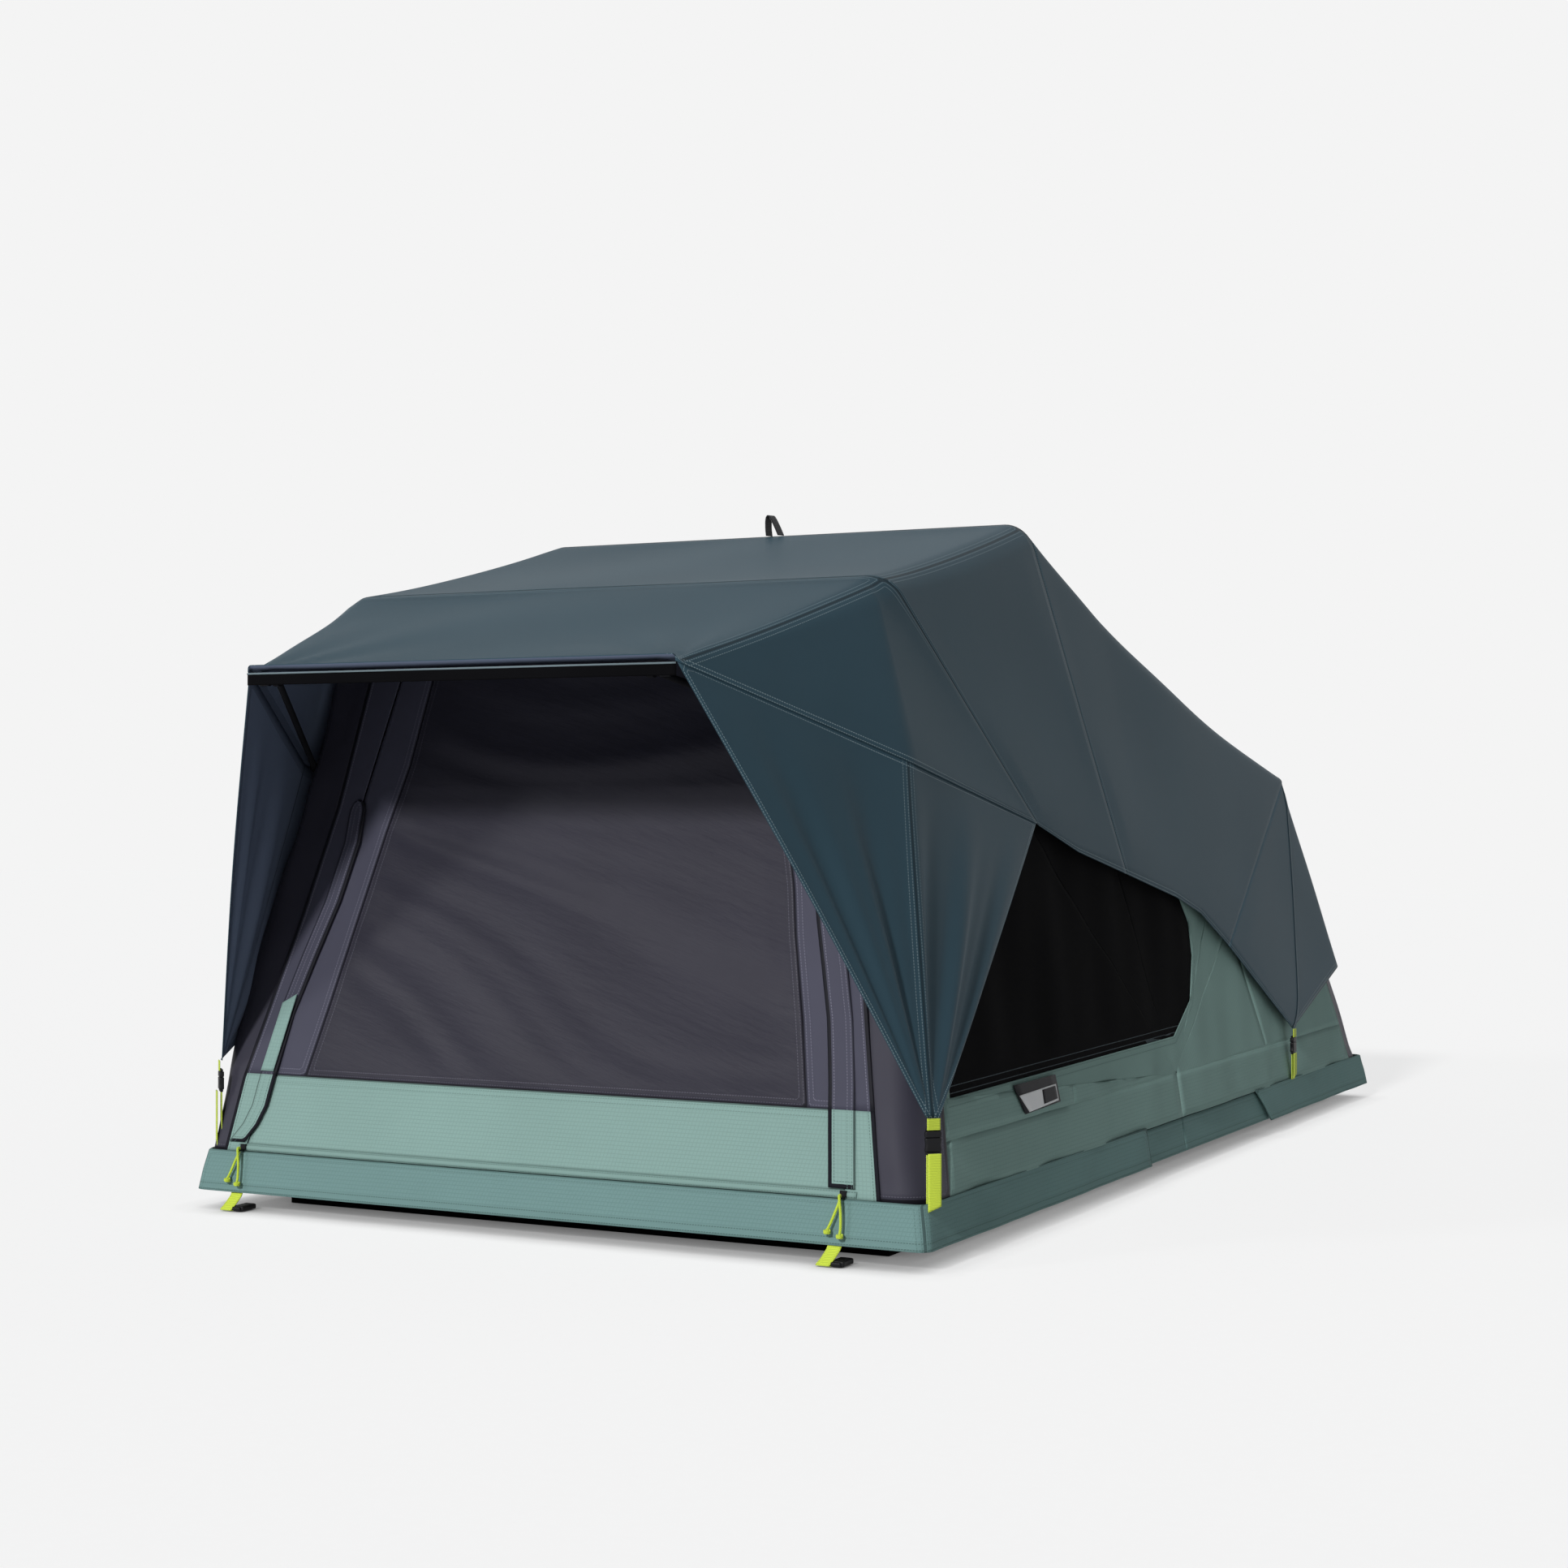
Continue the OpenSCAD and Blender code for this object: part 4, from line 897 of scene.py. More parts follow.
# The hem hangs over the bar in the near-black finish, painted shade below the awning's edge.
hem = awning_strip("awning_hem_cloth", hem_points, hem_shade_cloth)
declare_cloth([patch(hem_points)])
awning_strip("awning_binding_tape", binding_points, pale_cloth)
print("awning hem hangs", round(float(hem_z[0, -1] - hem_z[0, 0]), 4), "m over the bar")

# %% Wings
STRAP_WIDTH = 0.020
WING_TUCK = np.array([-0.002, 0.0, 0.004])
CORNER_WAY = np.array([math.cos(math.pi / 4), math.sin(math.pi / 4), 0.0])
WING_FOLDS = [(0.0075, 3.0, 0.0, 1.0), (0.0055, 8.6, 0.6, 1.3), (0.0022, 19.0, 1.9, 2.0)]


def wing_patch(foot_place):
    """A wing on the right: rows from the foot up to the long edge, with folds that meet at the foot.
    A fold is (height, half waves across the wing, phase, power of its fade to the foot and the edge)."""
    t = np.linspace(0.004, 0.996, 70)
    rise = np.linspace(0.0, 1.0, 46)
    top_edge = along(WING_EDGE, t) + WING_TUCK
    foot = foot_place + (t[:, None] - 0.5) * STRAP_WIDTH * CORNER_WAY
    points = lerp(foot[:, None], top_edge[:, None], rise[None, :, None])
    middle = 4.0 * rise * (1.0 - rise)
    points[..., 0] += sum(height * np.sin(count * math.pi * t + phase)[:, None] * middle[None] ** power
                          for height, count, phase, power in WING_FOLDS)
    seat = int(np.argmin(np.abs(t - 0.5)))
    width = np.linalg.norm(points - points[[seat]], axis=-1)
    down = run_lengths(points, 1)
    return patch(points, bound=("first_start", "first_end", "second_end"), sewn_lines=[(width, down)])


for side, part in (("right", wing_patch(WING_FOOT)), ("left", mirrored(wing_patch(LEFT_WING_FOOT)))):
    wing = stand_in(f"fly_wing_{side}_cloth", [part], fly_cloth, f"fly_wing_{side}")
    line_with(wing, lining_cloth)
    awning_fan(wing)

# %% [markdown]
# ## Side walls and windows
#
# Each side of the inner tent is a flat sage wall that leans in, with a large black mesh window.
# Because the wall closes like a fan about the hinge, it is laid out as a fan too: rays from the
# hinge, cut where they meet the wall's outline and the window's outline. Both outlines are convex,
# so a ray meets each in one stretch, and the cuts come from one formula per side of the outline.

# %% Fan-shaped grids
WALL_OUT, WALL_LEAN = 0.622, 0.168
FRONT_START, FRONT_LEAN = 0.020, 0.196
REAR_START, REAR_LEAN = 2.366, 0.4545
LEAN_FROM = 0.095


def wall_x(z):
    """Half the inner tent's width at a height."""
    return WALL_OUT - WALL_LEAN * (np.asarray(z) - FLY_EDGE)


def front_y(z):
    """How far back the front wall stands at a height."""
    return FRONT_START + FRONT_LEAN * (np.asarray(z) - LEAN_FROM)


def rear_y(z):
    """How far back the rear wall stands at a height."""
    return REAR_START - REAR_LEAN * (np.asarray(z) - LEAN_FROM)


def outline_sides(corners):
    """Outward normals and offsets of a convex outline whose corners go round anticlockwise."""
    corners = np.array(corners, float)
    step = np.roll(corners, -1, axis=0) - corners
    normal = np.stack([step[:, 1], -step[:, 0]], axis=-1)
    normal /= np.linalg.norm(normal, axis=-1, keepdims=True)
    return normal, np.sum(normal * corners, axis=-1)


def ray_stretch(corners, angles):
    """Where rays from the hinge enter and leave a convex outline: the last of the sides that they
    come in by and the first that they go out by."""
    normal, offset = outline_sides(corners)
    direction = np.stack([-np.cos(angles), np.sin(angles)], axis=-1)
    closing = direction @ normal.T
    distance = (offset - normal @ HINGE)[None] / np.where(np.abs(closing) < 1e-9, 1e-9, closing)
    leave = np.where(closing > 1e-9, distance, 9.0).min(axis=1)
    enter = np.where(closing < -1e-9, distance, 0.0).max(axis=1)
    return enter, leave


def fan_points(angles, near, far, steps):
    """A grid on the right wall: rays at the angles, each with even steps from near to far."""
    share = np.linspace(0.0, 1.0, steps)[None]
    radius = near[:, None] + (far - near)[:, None] * share
    y = HINGE[0] - radius * np.cos(angles)[:, None]
    z = HINGE[1] + radius * np.sin(angles)[:, None]
    return np.stack([wall_x(z), y, z], axis=-1)


WALL_FOOT, SLEEVE = 0.0925, 0.0855
WALL_OUTLINE = [(front_y(WALL_FOOT) + SLEEVE, WALL_FOOT), (rear_y(WALL_FOOT) - SLEEVE, WALL_FOOT),
                (rear_y(0.640) - SLEEVE, 0.640), (0.793, 1.085), (front_y(0.950) + SLEEVE, 0.950)]
WINDOW_OUTLINE = [(0.155, 0.228), (1.170, 0.234), (1.290, 0.290), (1.342, 0.370), (1.350, 0.430),
                  (1.300, 0.510), (0.720, 0.740), (0.262, 0.690)]
window_y, window_z = np.transpose(WINDOW_OUTLINE)
window_angles = np.arctan2(window_z - HINGE[1], HINGE[0] - window_y)
print("window spans", np.round(np.degrees([window_angles.min(), window_angles.max()]), 1), "degrees")

# %% Walls and windows
FAN_SECTORS = [("front", "front_base", "front_hoop_body"), ("crown", "front_hoop_body", "ridge_hoop_body"),
               ("middle", "ridge_hoop_body", "rear_hoop_body"), ("rear", "rear_hoop_body", "rear_base")]
BESIDE_CORNER = 2e-4
CALM_EDGE, WALL_SLACK, PANE_SLACK = 0.05, 0.0016, 0.0022
PANE_INSET, PANE_LAP = np.array([0.0022, 0.0, 0.0]), 0.012
WALL_START, PANE_START = 0.004, 0.003


def outside_window(points):
    """Distance of points from the window's outline, counted outwards."""
    normal, offset = outline_sides(WINDOW_OUTLINE)
    return (points[..., 1:] @ normal.T - offset).max(axis=-1)


def sector_angles(low, high):
    """Even angles across a sector, and one on either side of each of the window's own corners."""
    even = np.linspace(math.radians(low), math.radians(high), 48)
    corners = window_angles[(window_angles > even[0] + 1e-3) & (window_angles < even[-1] - 1e-3)]
    return np.unique(np.concatenate([even, corners - BESIDE_CORNER, corners + BESIDE_CORNER]))


def wall_strip(y_from, y_to):
    """The low strip of wall beside the hinge, below the height of the hinge line."""
    y = np.linspace(0.0, 1.0, 40)[:, None]
    z = np.linspace(WALL_FOOT, HINGE[1], 8)[None]
    return np.stack(np.broadcast_arrays(wall_x(z), lerp(y_from(z), y_to(z), y), z), axis=-1)


def wall_ripples(points, height):
    """Shallow upright waves on a wall that hangs a little slack."""
    return waves(points[..., 1], points[..., 2], [(3.1, 0.7, 0.2, height), (7.3, -1.6, 1.4, 0.5 * height),
                                                  (1.4, 3.0, 0.8, 0.6 * height)])


def wall_patch(points):
    """A piece of wall with its distance to the window's edge stored as a bound edge."""
    slack = wall_ripples(points, WALL_SLACK) * np.clip(outside_window(points) / CALM_EDGE, 0.0, 1.0)
    edge = np.maximum(outside_window(points), 0.0)
    return patch(swell(points, slack), bound_lines=[(edge, points[..., 1])])


def window_patch(points):
    """A piece of window mesh, two millimetres inside the wall, with the distance to its lower edge."""
    low_edge = points[..., 2] - np.interp(points[..., 1], window_y[:2], window_z[:2])
    slack = wall_ripples(points, PANE_SLACK) * np.clip(-outside_window(points) / CALM_EDGE, 0.0, 1.0)
    return patch(swell(points - PANE_INSET, slack), bound_lines=[(np.abs(low_edge), points[..., 1])])


for label, body_a, body_b in FAN_SECTORS:
    angles = sector_angles(HOOP_ANGLES[body_a], HOOP_ANGLES[body_b])
    enter, leave = ray_stretch(WINDOW_OUTLINE, angles)
    limit = ray_stretch(WALL_OUTLINE, angles)[1]
    open_here = leave > enter
    middle = 0.5 * limit
    start, stop = np.where(open_here, enter, middle), np.where(open_here, leave, middle)
    inner = fan_points(angles, np.full_like(limit, WALL_START), start, 26)
    outer = fan_points(angles, stop, limit, 26)
    walls = [wall_patch(inner), wall_patch(outer)]
    if label == "front":
        walls.append(wall_patch(wall_strip(lambda z: front_y(z) + SLEEVE, lambda z: HINGE[0] + 0 * z)))
    if label == "rear":
        walls.append(wall_patch(wall_strip(lambda z: HINGE[0] + 0 * z, lambda z: rear_y(z) - SLEEVE)))
    panes = []
    if open_here.any():
        near, far = np.maximum(enter - PANE_LAP, PANE_START), leave + PANE_LAP
        panes = [window_patch(fan_points(angles[open_here], near[open_here], far[open_here], 40))]
    for side in ("right", "left"):
        turn = (lambda part: part) if side == "right" else mirrored
        wall = stand_in(f"side_wall_{side}_{label}_cloth", [turn(part) for part in walls], sage_cloth,
                        f"side_wall_{side}")
        fan(wall, body_a, body_b)
        declare_cloth(walls)
        for part in panes:
            pane = stand_in(f"window_{side}_{label}_cloth", [turn(part)], window_cloth, f"window_{side}",
                            THIN)
            fan(pane, body_a, body_b)
            declare_cloth([part])
    print("side wall", label, "area", round(flat_area(walls), 3), "m2")

# %% [markdown]
# ## The front: sleeves, wall, door and zip flaps
#
# The front face is a plane that leans back and rounds off at its two corners. Dark sleeves wrap the
# corners, navy strips run up beside the door, and a sage band crosses the whole foot of the face.
# A flap covers the zip on each side. Every piece is a grid over width and height on that face, set
# out by a millimetre or two. The seams were measured in the photograph, where the left ones lie a
# little further out than the right ones.

# %% Front face
FRONT_NORMAL = np.array([0.0, -1.0, FRONT_LEAN]) / math.hypot(1.0, FRONT_LEAN)
RIGHT_ROUND, LEFT_ROUND = 0.055, 0.024
BAND_SEAM, DOOR_FOOT, DOOR_HEAD, FLAP_HEAD = 0.217, 0.105, 0.925, 0.661
ZIP_LEFT = ((0.105, 0.217, 0.315, 0.406, 0.495, 0.591, 0.661, 0.870, 0.925),
            (0.560, 0.529, 0.508, 0.475, 0.442, 0.416, 0.410, 0.360, 0.345))
ZIP_RIGHT = ((0.105, 0.217, 0.514, 0.867, 0.925), (0.512, 0.495, 0.446, 0.363, 0.340))
PANEL_LEFT = ((0.217, 0.328, 0.490, 0.610, 0.717, 0.868, 0.925),
              (0.461, 0.431, 0.389, 0.358, 0.327, 0.299, 0.285))
PANEL_RIGHT = ((0.217, 0.344, 0.463, 0.535, 0.868, 0.925), (0.440, 0.421, 0.398, 0.388, 0.312, 0.298))
SLEEVE_LEFT = ((0.089, 0.211, 0.308, 0.475, 0.650), (0.035, 0.035, 0.048, 0.069, 0.085))
SLEEVE_RIGHT = ((0.089, 0.980), (0.070, 0.070))
FLAP_LEFT = ((0.105, 0.137, 0.167, 0.215, 0.315, 0.406, 0.495, 0.591, 0.661),
             (0.566, 0.540, 0.526, 0.517, 0.496, 0.463, 0.430, 0.404, 0.400))
FLAP_RIGHT = ((0.105, 0.252, 0.346, 0.416, 0.483, 0.661), (0.487, 0.473, 0.461, 0.447, 0.432, 0.398))


def line_at(z, line):
    """Distance from the middle of the front at a height, on a line given by heights and distances."""
    return np.interp(z, *line)


def on_front(x, z, out=0.0):
    """Points on the front face, set out along its normal. Past the start of a corner the face falls
    back along a quarter circle."""
    x, z, out = np.broadcast_arrays(x, z, out)
    corner = np.where(x > 0.0, RIGHT_ROUND, LEFT_ROUND)
    past = np.maximum(np.abs(x) - (wall_x(z) - corner), 0.0)
    back = corner - np.sqrt(np.maximum(corner ** 2 - past ** 2, 0.0))
    plane = np.stack([x, front_y(z) + back, z], axis=-1)
    return plane + FRONT_NORMAL * out[..., None]


def front_grid(left, right, z, out, steps):
    """A grid on the front face between a left and a right edge given for each height."""
    share = np.linspace(0.0, 1.0, steps)[:, None]
    x = lerp(left[None], right[None], share)
    height = np.broadcast_to(z[None], x.shape)
    return on_front(x, height, out)


def front_piece(name, patches, finish, node, thickness=CLOTH):
    """A cloth piece of the front face that folds between the front base and the front hoop."""
    piece = stand_in(name, patches, finish, node, thickness)
    fan(piece, "front_base", "front_hoop_body")
    declare_cloth(patches)


print("door is", round(line_at(DOOR_FOOT, ZIP_LEFT) + line_at(DOOR_FOOT, ZIP_RIGHT), 3), "m wide at its foot")

# %% Corner sleeves and front wall
SLEEVE_REACH, SLEEVE_TOP, WALL_HEAD = 0.085, 0.963, 0.982
BULGE_WIDTH, BULGE_FADE, BULGE_HEIGHT, LEFT_BULGE = 0.034, 0.05, 0.5, 0.022
SLEEVE_SINK, SEWN_EDGE = 0.0036, 0.03
SLEEVE_CREASES = [(3.0, 2.2, 0.4, 0.0016), (9.0, 3.1, 1.9, 0.0008), (2.0, 7.0, 0.2, 0.0009)]
ZIP_SIDE, LEAST_STRIP, WALL_PROUD = 0.001, 0.006, 0.0018


def sleeve_points(front, heights, corner, bulge):
    """Round a corner: along the end wall, a quarter circle, then along the side wall. A bulge pushes the
    corner outwards as half a sine over the lowest half metre."""
    z = heights[None]
    flat = np.linspace(SLEEVE_REACH, corner, 10, endpoint=False)[:, None]
    turn = np.linspace(0.0, math.pi / 2, 14)[:, None]
    side = np.linspace(corner, SLEEVE_REACH, 10)[1:, None]
    inwards = np.concatenate([flat, corner * (1.0 - np.sin(turn)), np.zeros_like(side)])
    backwards = np.concatenate([np.zeros_like(flat), corner * (1.0 - np.cos(turn)), side])
    near_end = np.clip(1.0 - inwards / BULGE_WIDTH, 0.0, 1.0)
    near_corner = near_end * np.clip((SLEEVE_REACH - backwards) / BULGE_FADE, 0.0, 1.0)
    pushed = bulge * np.sin(math.pi * np.clip((z - WALL_FOOT) / BULGE_HEIGHT, 0.0, 1.0))
    x = wall_x(z) - inwards + pushed * near_corner
    y = front_y(z) + backwards if front else rear_y(z) - backwards
    grid = np.stack(np.broadcast_arrays(x, y, z), axis=-1)
    return grid if front else grid[::-1]


def sleeve_patch(front, top, corner=RIGHT_ROUND, bulge=0.0):
    """A sleeve with loose upright creases."""
    points = sleeve_points(front, np.linspace(WALL_FOOT, top, 60), corner, bulge)
    slack = waves(points[..., 0] + points[..., 1], points[..., 2], SLEEVE_CREASES)
    return patch(swell(points, (slack - SLEEVE_SINK) * held_flat(points, SEWN_EDGE)),
                 bound=("first_end" if front else "first_start", "second_start"))


def wall_side(heights, side):
    """A strip of front wall from the zip out to the sleeve's seam, lapped over the sleeve."""
    zip_line, seam = (ZIP_RIGHT, SLEEVE_RIGHT) if side > 0 else (ZIP_LEFT, SLEEVE_LEFT)
    beside_zip = line_at(heights, zip_line)
    inner = side * (beside_zip + ZIP_SIDE)
    outer = side * np.maximum(wall_x(heights) - line_at(heights, seam), beside_zip + LEAST_STRIP)
    left, right, lapped = (inner, outer, "first_end") if side > 0 else (outer, inner, "first_start")
    return patch(front_grid(left, right, heights, WALL_PROUD, 24), bound=(lapped,))


def wall_sides(low, high, steps):
    """The strips on both sides of the door, from one height to another."""
    heights = np.linspace(low, high, steps)
    return [wall_side(heights, 1), wall_side(heights, -1)]


right_sleeve = sleeve_patch(True, SLEEVE_TOP)
left_sleeve = mirrored(sleeve_patch(True, SLEEVE_TOP, LEFT_ROUND, LEFT_BULGE))
front_piece("front_corner_sleeves_cloth", [right_sleeve, left_sleeve], sleeve_cloth,
            "front_corner_sleeves")
head_z = np.linspace(DOOR_HEAD + ZIP_SIDE, WALL_HEAD, 8)
head = patch(front_grid(-line_at(head_z, ZIP_LEFT), line_at(head_z, ZIP_RIGHT), head_z, 0.0, 40))
front_piece("front_wall_cloth", wall_sides(BAND_SEAM, WALL_HEAD, 60) + [head], charcoal_cloth, "front_wall")
front_piece("front_wall_foot_cloth", wall_sides(WALL_FOOT, BAND_SEAM, 16), flap_foot_cloth, "front_wall")
print("front wall and sleeves made")

# %% [markdown]
# ## The door
#
# The door hangs slack from its head. It is cut as a dark satin panel between two navy borders, with
# fine wrinkles that run down from the upper left. They are waves across one slanted direction,
# strongest in the middle, with a wide shallow drape on top. The door swings on its own body; when
# the tent folds, it flattens towards its head, as slack cloth does between closing frames.

# %% Door
DOOR_WRINKLES = [(2.6, 7.9, 0.4, 0.0013), (3.6, 11.6, 1.2, 0.0010), (1.2, 3.8, 2.2, 0.0022),
                 (5.0, 17.0, 0.9, 0.0005), (-1.1, 2.2, 0.0, 0.0014)]
ZIP_GAP, DOOR_GAP = 0.0008, 0.0005


def door_patch(left, right, low, high, steps, wrinkle, sewn):
    """A grid between two lines from one height to another, wrinkled along slanted waves. The waves
    bend a little, because their phase shifts with a slow second wave."""
    z = np.linspace(low, high, steps[1])
    points = front_grid(left(z), right(z), z, 0.0, steps[0])
    x, height = points[..., 0], points[..., 2]
    bend = 0.05 * np.sin(5.0 * x + 3.0 * height) + 0.03 * np.sin(9.0 * height - 4.0 * x)
    slant = waves(x + bend, height + bend, DOOR_WRINKLES)
    return patch(swell(points, wrinkle * slant * held_flat(points, 0.05)), sewn=sewn)


def door_piece(name, patches, finish, node):
    """A piece of the door on its own body."""
    piece = stand_in(name, patches, finish, node)
    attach(piece, "door")
    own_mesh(piece)
    declare_cloth(patches)


def left_zip(z):
    """The door's left edge, just inside the zip."""
    return ZIP_GAP - line_at(z, ZIP_LEFT)


def right_zip(z):
    """The door's right edge, just inside the zip."""
    return line_at(z, ZIP_RIGHT) - ZIP_GAP


def left_seam(z):
    """The seam between the left border and the panel."""
    return -line_at(z, PANEL_LEFT)


def right_seam(z):
    """The seam between the panel and the right border."""
    return line_at(z, PANEL_RIGHT)


door_top = DOOR_HEAD - DOOR_GAP
panel = door_patch(left_seam, right_seam, BAND_SEAM, door_top, steps=(110, 100), wrinkle=1.0,
                   sewn=("first_start", "first_end", "second_start"))
left_border = door_patch(left_zip, left_seam, BAND_SEAM, door_top, steps=(14, 100), wrinkle=0.3,
                         sewn=("first_end", "second_start"))
right_border = door_patch(right_seam, right_zip, BAND_SEAM, door_top, steps=(14, 100), wrinkle=0.3,
                          sewn=("first_start", "second_start"))
band = door_patch(left_zip, right_zip, DOOR_FOOT + DOOR_GAP, BAND_SEAM, steps=(110, 24), wrinkle=0.35,
                  sewn=("second_end",))
door_piece("door_panel_cloth", [panel], door_cloth, "door_panel")
door_piece("door_border_cloth", [left_border, right_border], charcoal_cloth, "door_panel")
door_piece("door_band_cloth", [band], sage_cloth, "door_band")
print("door panel area", round(flat_area([panel]), 3), "m2")

# %% Zip flaps, patch and welt
FLAP_FOOT, FLAP_ROUND, FLAP_ROUND_END, FLAP_PROUD = 0.108, 0.024, 0.0242, 0.0045
FLAP_WIDTHS = {1: 0.042, -1: 0.031}
FLAP_RIPPLES = [(2.2, 0.0, 0.3, 0.0010), (5.1, 0.0, 1.0, 0.0006)]
PATCH_CORNERS = np.array([(-0.546, 0.222), (-0.521, 0.222), (-0.492, 0.346), (-0.519, 0.331)])
PATCH_PROUD = 0.0072
WELT_ENDS, WELT_FOOT, WELT_HEIGHT = (-0.575, 0.532), 0.0942, 0.0118
WELT_PROUD, WELT_SWELL = 0.0012, 0.0034


def filled(corners):
    """A grid of 8 by 20 points over four flat corners, from the first two up to the last two."""
    across = np.linspace(0.0, 1.0, 8)[:, None, None]
    upward = np.linspace(0.0, 1.0, 20)[None, :, None]
    low_start, low_end, high_end, high_start = corners
    return lerp(lerp(low_start, low_end, across), lerp(high_start, high_end, across), upward)


def flap_side(low, high, steps, side):
    """A flap over a zip from one height to another: its free edge lies inside, its sewn edge outside,
    and its head is rounded by a half ellipse."""
    z = np.linspace(low, high, steps)
    into_head = np.maximum(z - FLAP_HEAD + FLAP_ROUND, 0.0) / FLAP_ROUND_END
    head_round = np.sqrt(np.clip(1.0 - into_head ** 2, 0.0, 1.0))
    half_width = 0.5 * FLAP_WIDTHS[side]
    middle = line_at(z, FLAP_RIGHT if side > 0 else FLAP_LEFT) + half_width
    inner, outer = side * (middle - half_width * head_round), side * (middle + half_width * head_round)
    left, right = (inner, outer) if side > 0 else (outer, inner)
    points = front_grid(left, right, z, FLAP_PROUD, 12)
    lift = waves(points[..., 2], points[..., 0], FLAP_RIPPLES)
    free, sewn = ("first_start", "first_end") if side > 0 else ("first_end", "first_start")
    ends = (free, "second_start") if low < BAND_SEAM else (free,)
    return patch(swell(points, lift), bound=ends, sewn=(sewn,))


for label, side in (("left", -1), ("right", 1)):
    front_piece(f"zip_flap_{label}_cloth", [flap_side(BAND_SEAM, FLAP_HEAD, 70, side)], charcoal_cloth,
                f"zip_flap_{label}")
    front_piece(f"zip_flap_{label}_foot_cloth", [flap_side(FLAP_FOOT, BAND_SEAM, 30, side)], flap_foot_cloth,
                f"zip_flap_{label}")
patch_flat = filled(PATCH_CORNERS)
badge = patch(on_front(patch_flat[..., 0], patch_flat[..., 1], PATCH_PROUD))
front_piece("flap_patch_cloth", [badge], sage_cloth, "flap_patch", THIN)
welt_x = np.linspace(*WELT_ENDS, 160)[:, None]
welt_share = np.linspace(0.0, 1.0, 11)[None]
welt_out = WELT_PROUD + WELT_SWELL * np.sin(math.pi * welt_share)
welt_points = on_front(welt_x, WELT_FOOT + WELT_HEIGHT * welt_share, welt_out)
welt = patch(welt_points, bound=("second_start", "second_end"))
welt_piece = stand_in("door_zip_welt_cloth", [welt], sage_cloth, "door_zip", THIN)
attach(welt_piece, "front_base")
declare_cloth([welt])
print("zip flaps, patch and welt made")

# %% [markdown]
# ## Rear wall, skirts and label
#
# The rear mirrors the front without a door: a plain wall between two sleeves. The skirt hides the
# base all round. It leans out from its top seam to its hem and turns each corner in a small arc with
# an upright seam, so it is one row of points carried from top to hem. The label on the right wall
# has a pale half and a black half in the photograph; both are kept, and left bare.

# %% Rear wall and sleeves
REAR_SLEEVE_TOP, REAR_WALL_HEAD = 0.666, 0.685
REAR_RIPPLES = [(1.6, 2.0, 0.3, 0.0030), (3.3, -1.1, 1.0, 0.0016)]
rear_sleeve = sleeve_patch(False, REAR_SLEEVE_TOP)
rear_heights = np.linspace(WALL_FOOT, REAR_WALL_HEAD, 50)
rear_share = np.linspace(0.0, 1.0, 70)[:, None]
rear_reach = wall_x(rear_heights) - SLEEVE
rear_x = lerp(rear_reach[None], -rear_reach[None], rear_share)
rear_grid = np.stack(np.broadcast_arrays(rear_x, rear_y(rear_heights)[None], rear_heights[None]), axis=-1)
rear_slack = waves(rear_grid[..., 0], rear_grid[..., 2], REAR_RIPPLES)
rear_wall = patch(swell(rear_grid, rear_slack * held_flat(rear_grid)))
for name, parts, finish, node, slot in (
        ("rear_wall_cloth", [rear_wall], sage_cloth, "rear_wall", "green_fabric"),
        ("rear_corner_sleeves_cloth", [rear_sleeve, mirrored(rear_sleeve)], sleeve_cloth,
         "rear_corner_sleeves", "charcoal_fabric")):
    piece = stand_in(name, parts, finish, node)
    fan(piece, "rear_hoop_body", "rear_base")
    declare_cloth(parts)
print("rear wall area", round(flat_area([rear_wall]), 3), "m2")

# %% Skirts
SKIRT_HEM, SKIRT_TOP, SKIRT_LEAN, SKIRT_ROUND, BASE_LENGTH = 0.030, 0.092, 0.010, 0.020, 2.400
CORNER_COLUMN = 44
SKIRT_RIPPLES = [(3.3, 0.0, 0.2, 0.0012), (8.1, 2.0, 1.1, 0.0007), (1.1, 0.0, 2.0, 0.0010)]
SKIRT_SWELL, SKIRT_CALM = 0.0012, 0.03
LEDGE_RISES, LEDGE_SHARES = np.array([0.0012, 0.002, 0.0024]), np.array([0.25, 0.6, 1.0])
FRONT_SKIRT_END, REAR_HEM_END, REAR_TOP_END = 0.950, 1.650, 1.590
FRONT_LEDGE, REAR_LEDGE = 0.0085, 0.0215
MIDDLE_X, MIDDLE_HEM, MIDDLE_TOP = 0.6445, 0.032, 0.091
MIDDLE_START, MIDDLE_END, MIDDLE_GAP = 0.930, 1.670, 0.0005


def skirt_row(inset, end, front, ledge):
    """Points round one end of the base: along a side, round a corner, across, round and back.
    The ledge draws the row further in across the end, where the wall stands further back."""
    x, start = HALF_WIDTH - inset, inset + ledge + SKIRT_ROUND
    arc = np.linspace(0.0, math.pi / 2, 9)
    side_y = np.linspace(end, start, 40, endpoint=False)
    corner_x, corner_y = x - SKIRT_ROUND * (1.0 - np.cos(arc)), start - SKIRT_ROUND * np.sin(arc)
    cross_x = np.linspace(x - SKIRT_ROUND, SKIRT_ROUND - x, 61)[1:-1]
    half_x = np.concatenate([np.full(len(side_y), x), corner_x])
    half_y = np.concatenate([side_y, corner_y])
    row_x = np.concatenate([half_x, cross_x, -half_x[::-1]])
    row_y = np.concatenate([half_y, np.full(len(cross_x), inset + ledge), half_y[::-1]])
    return (-row_x, row_y) if front else (row_x, BASE_LENGTH - row_y)


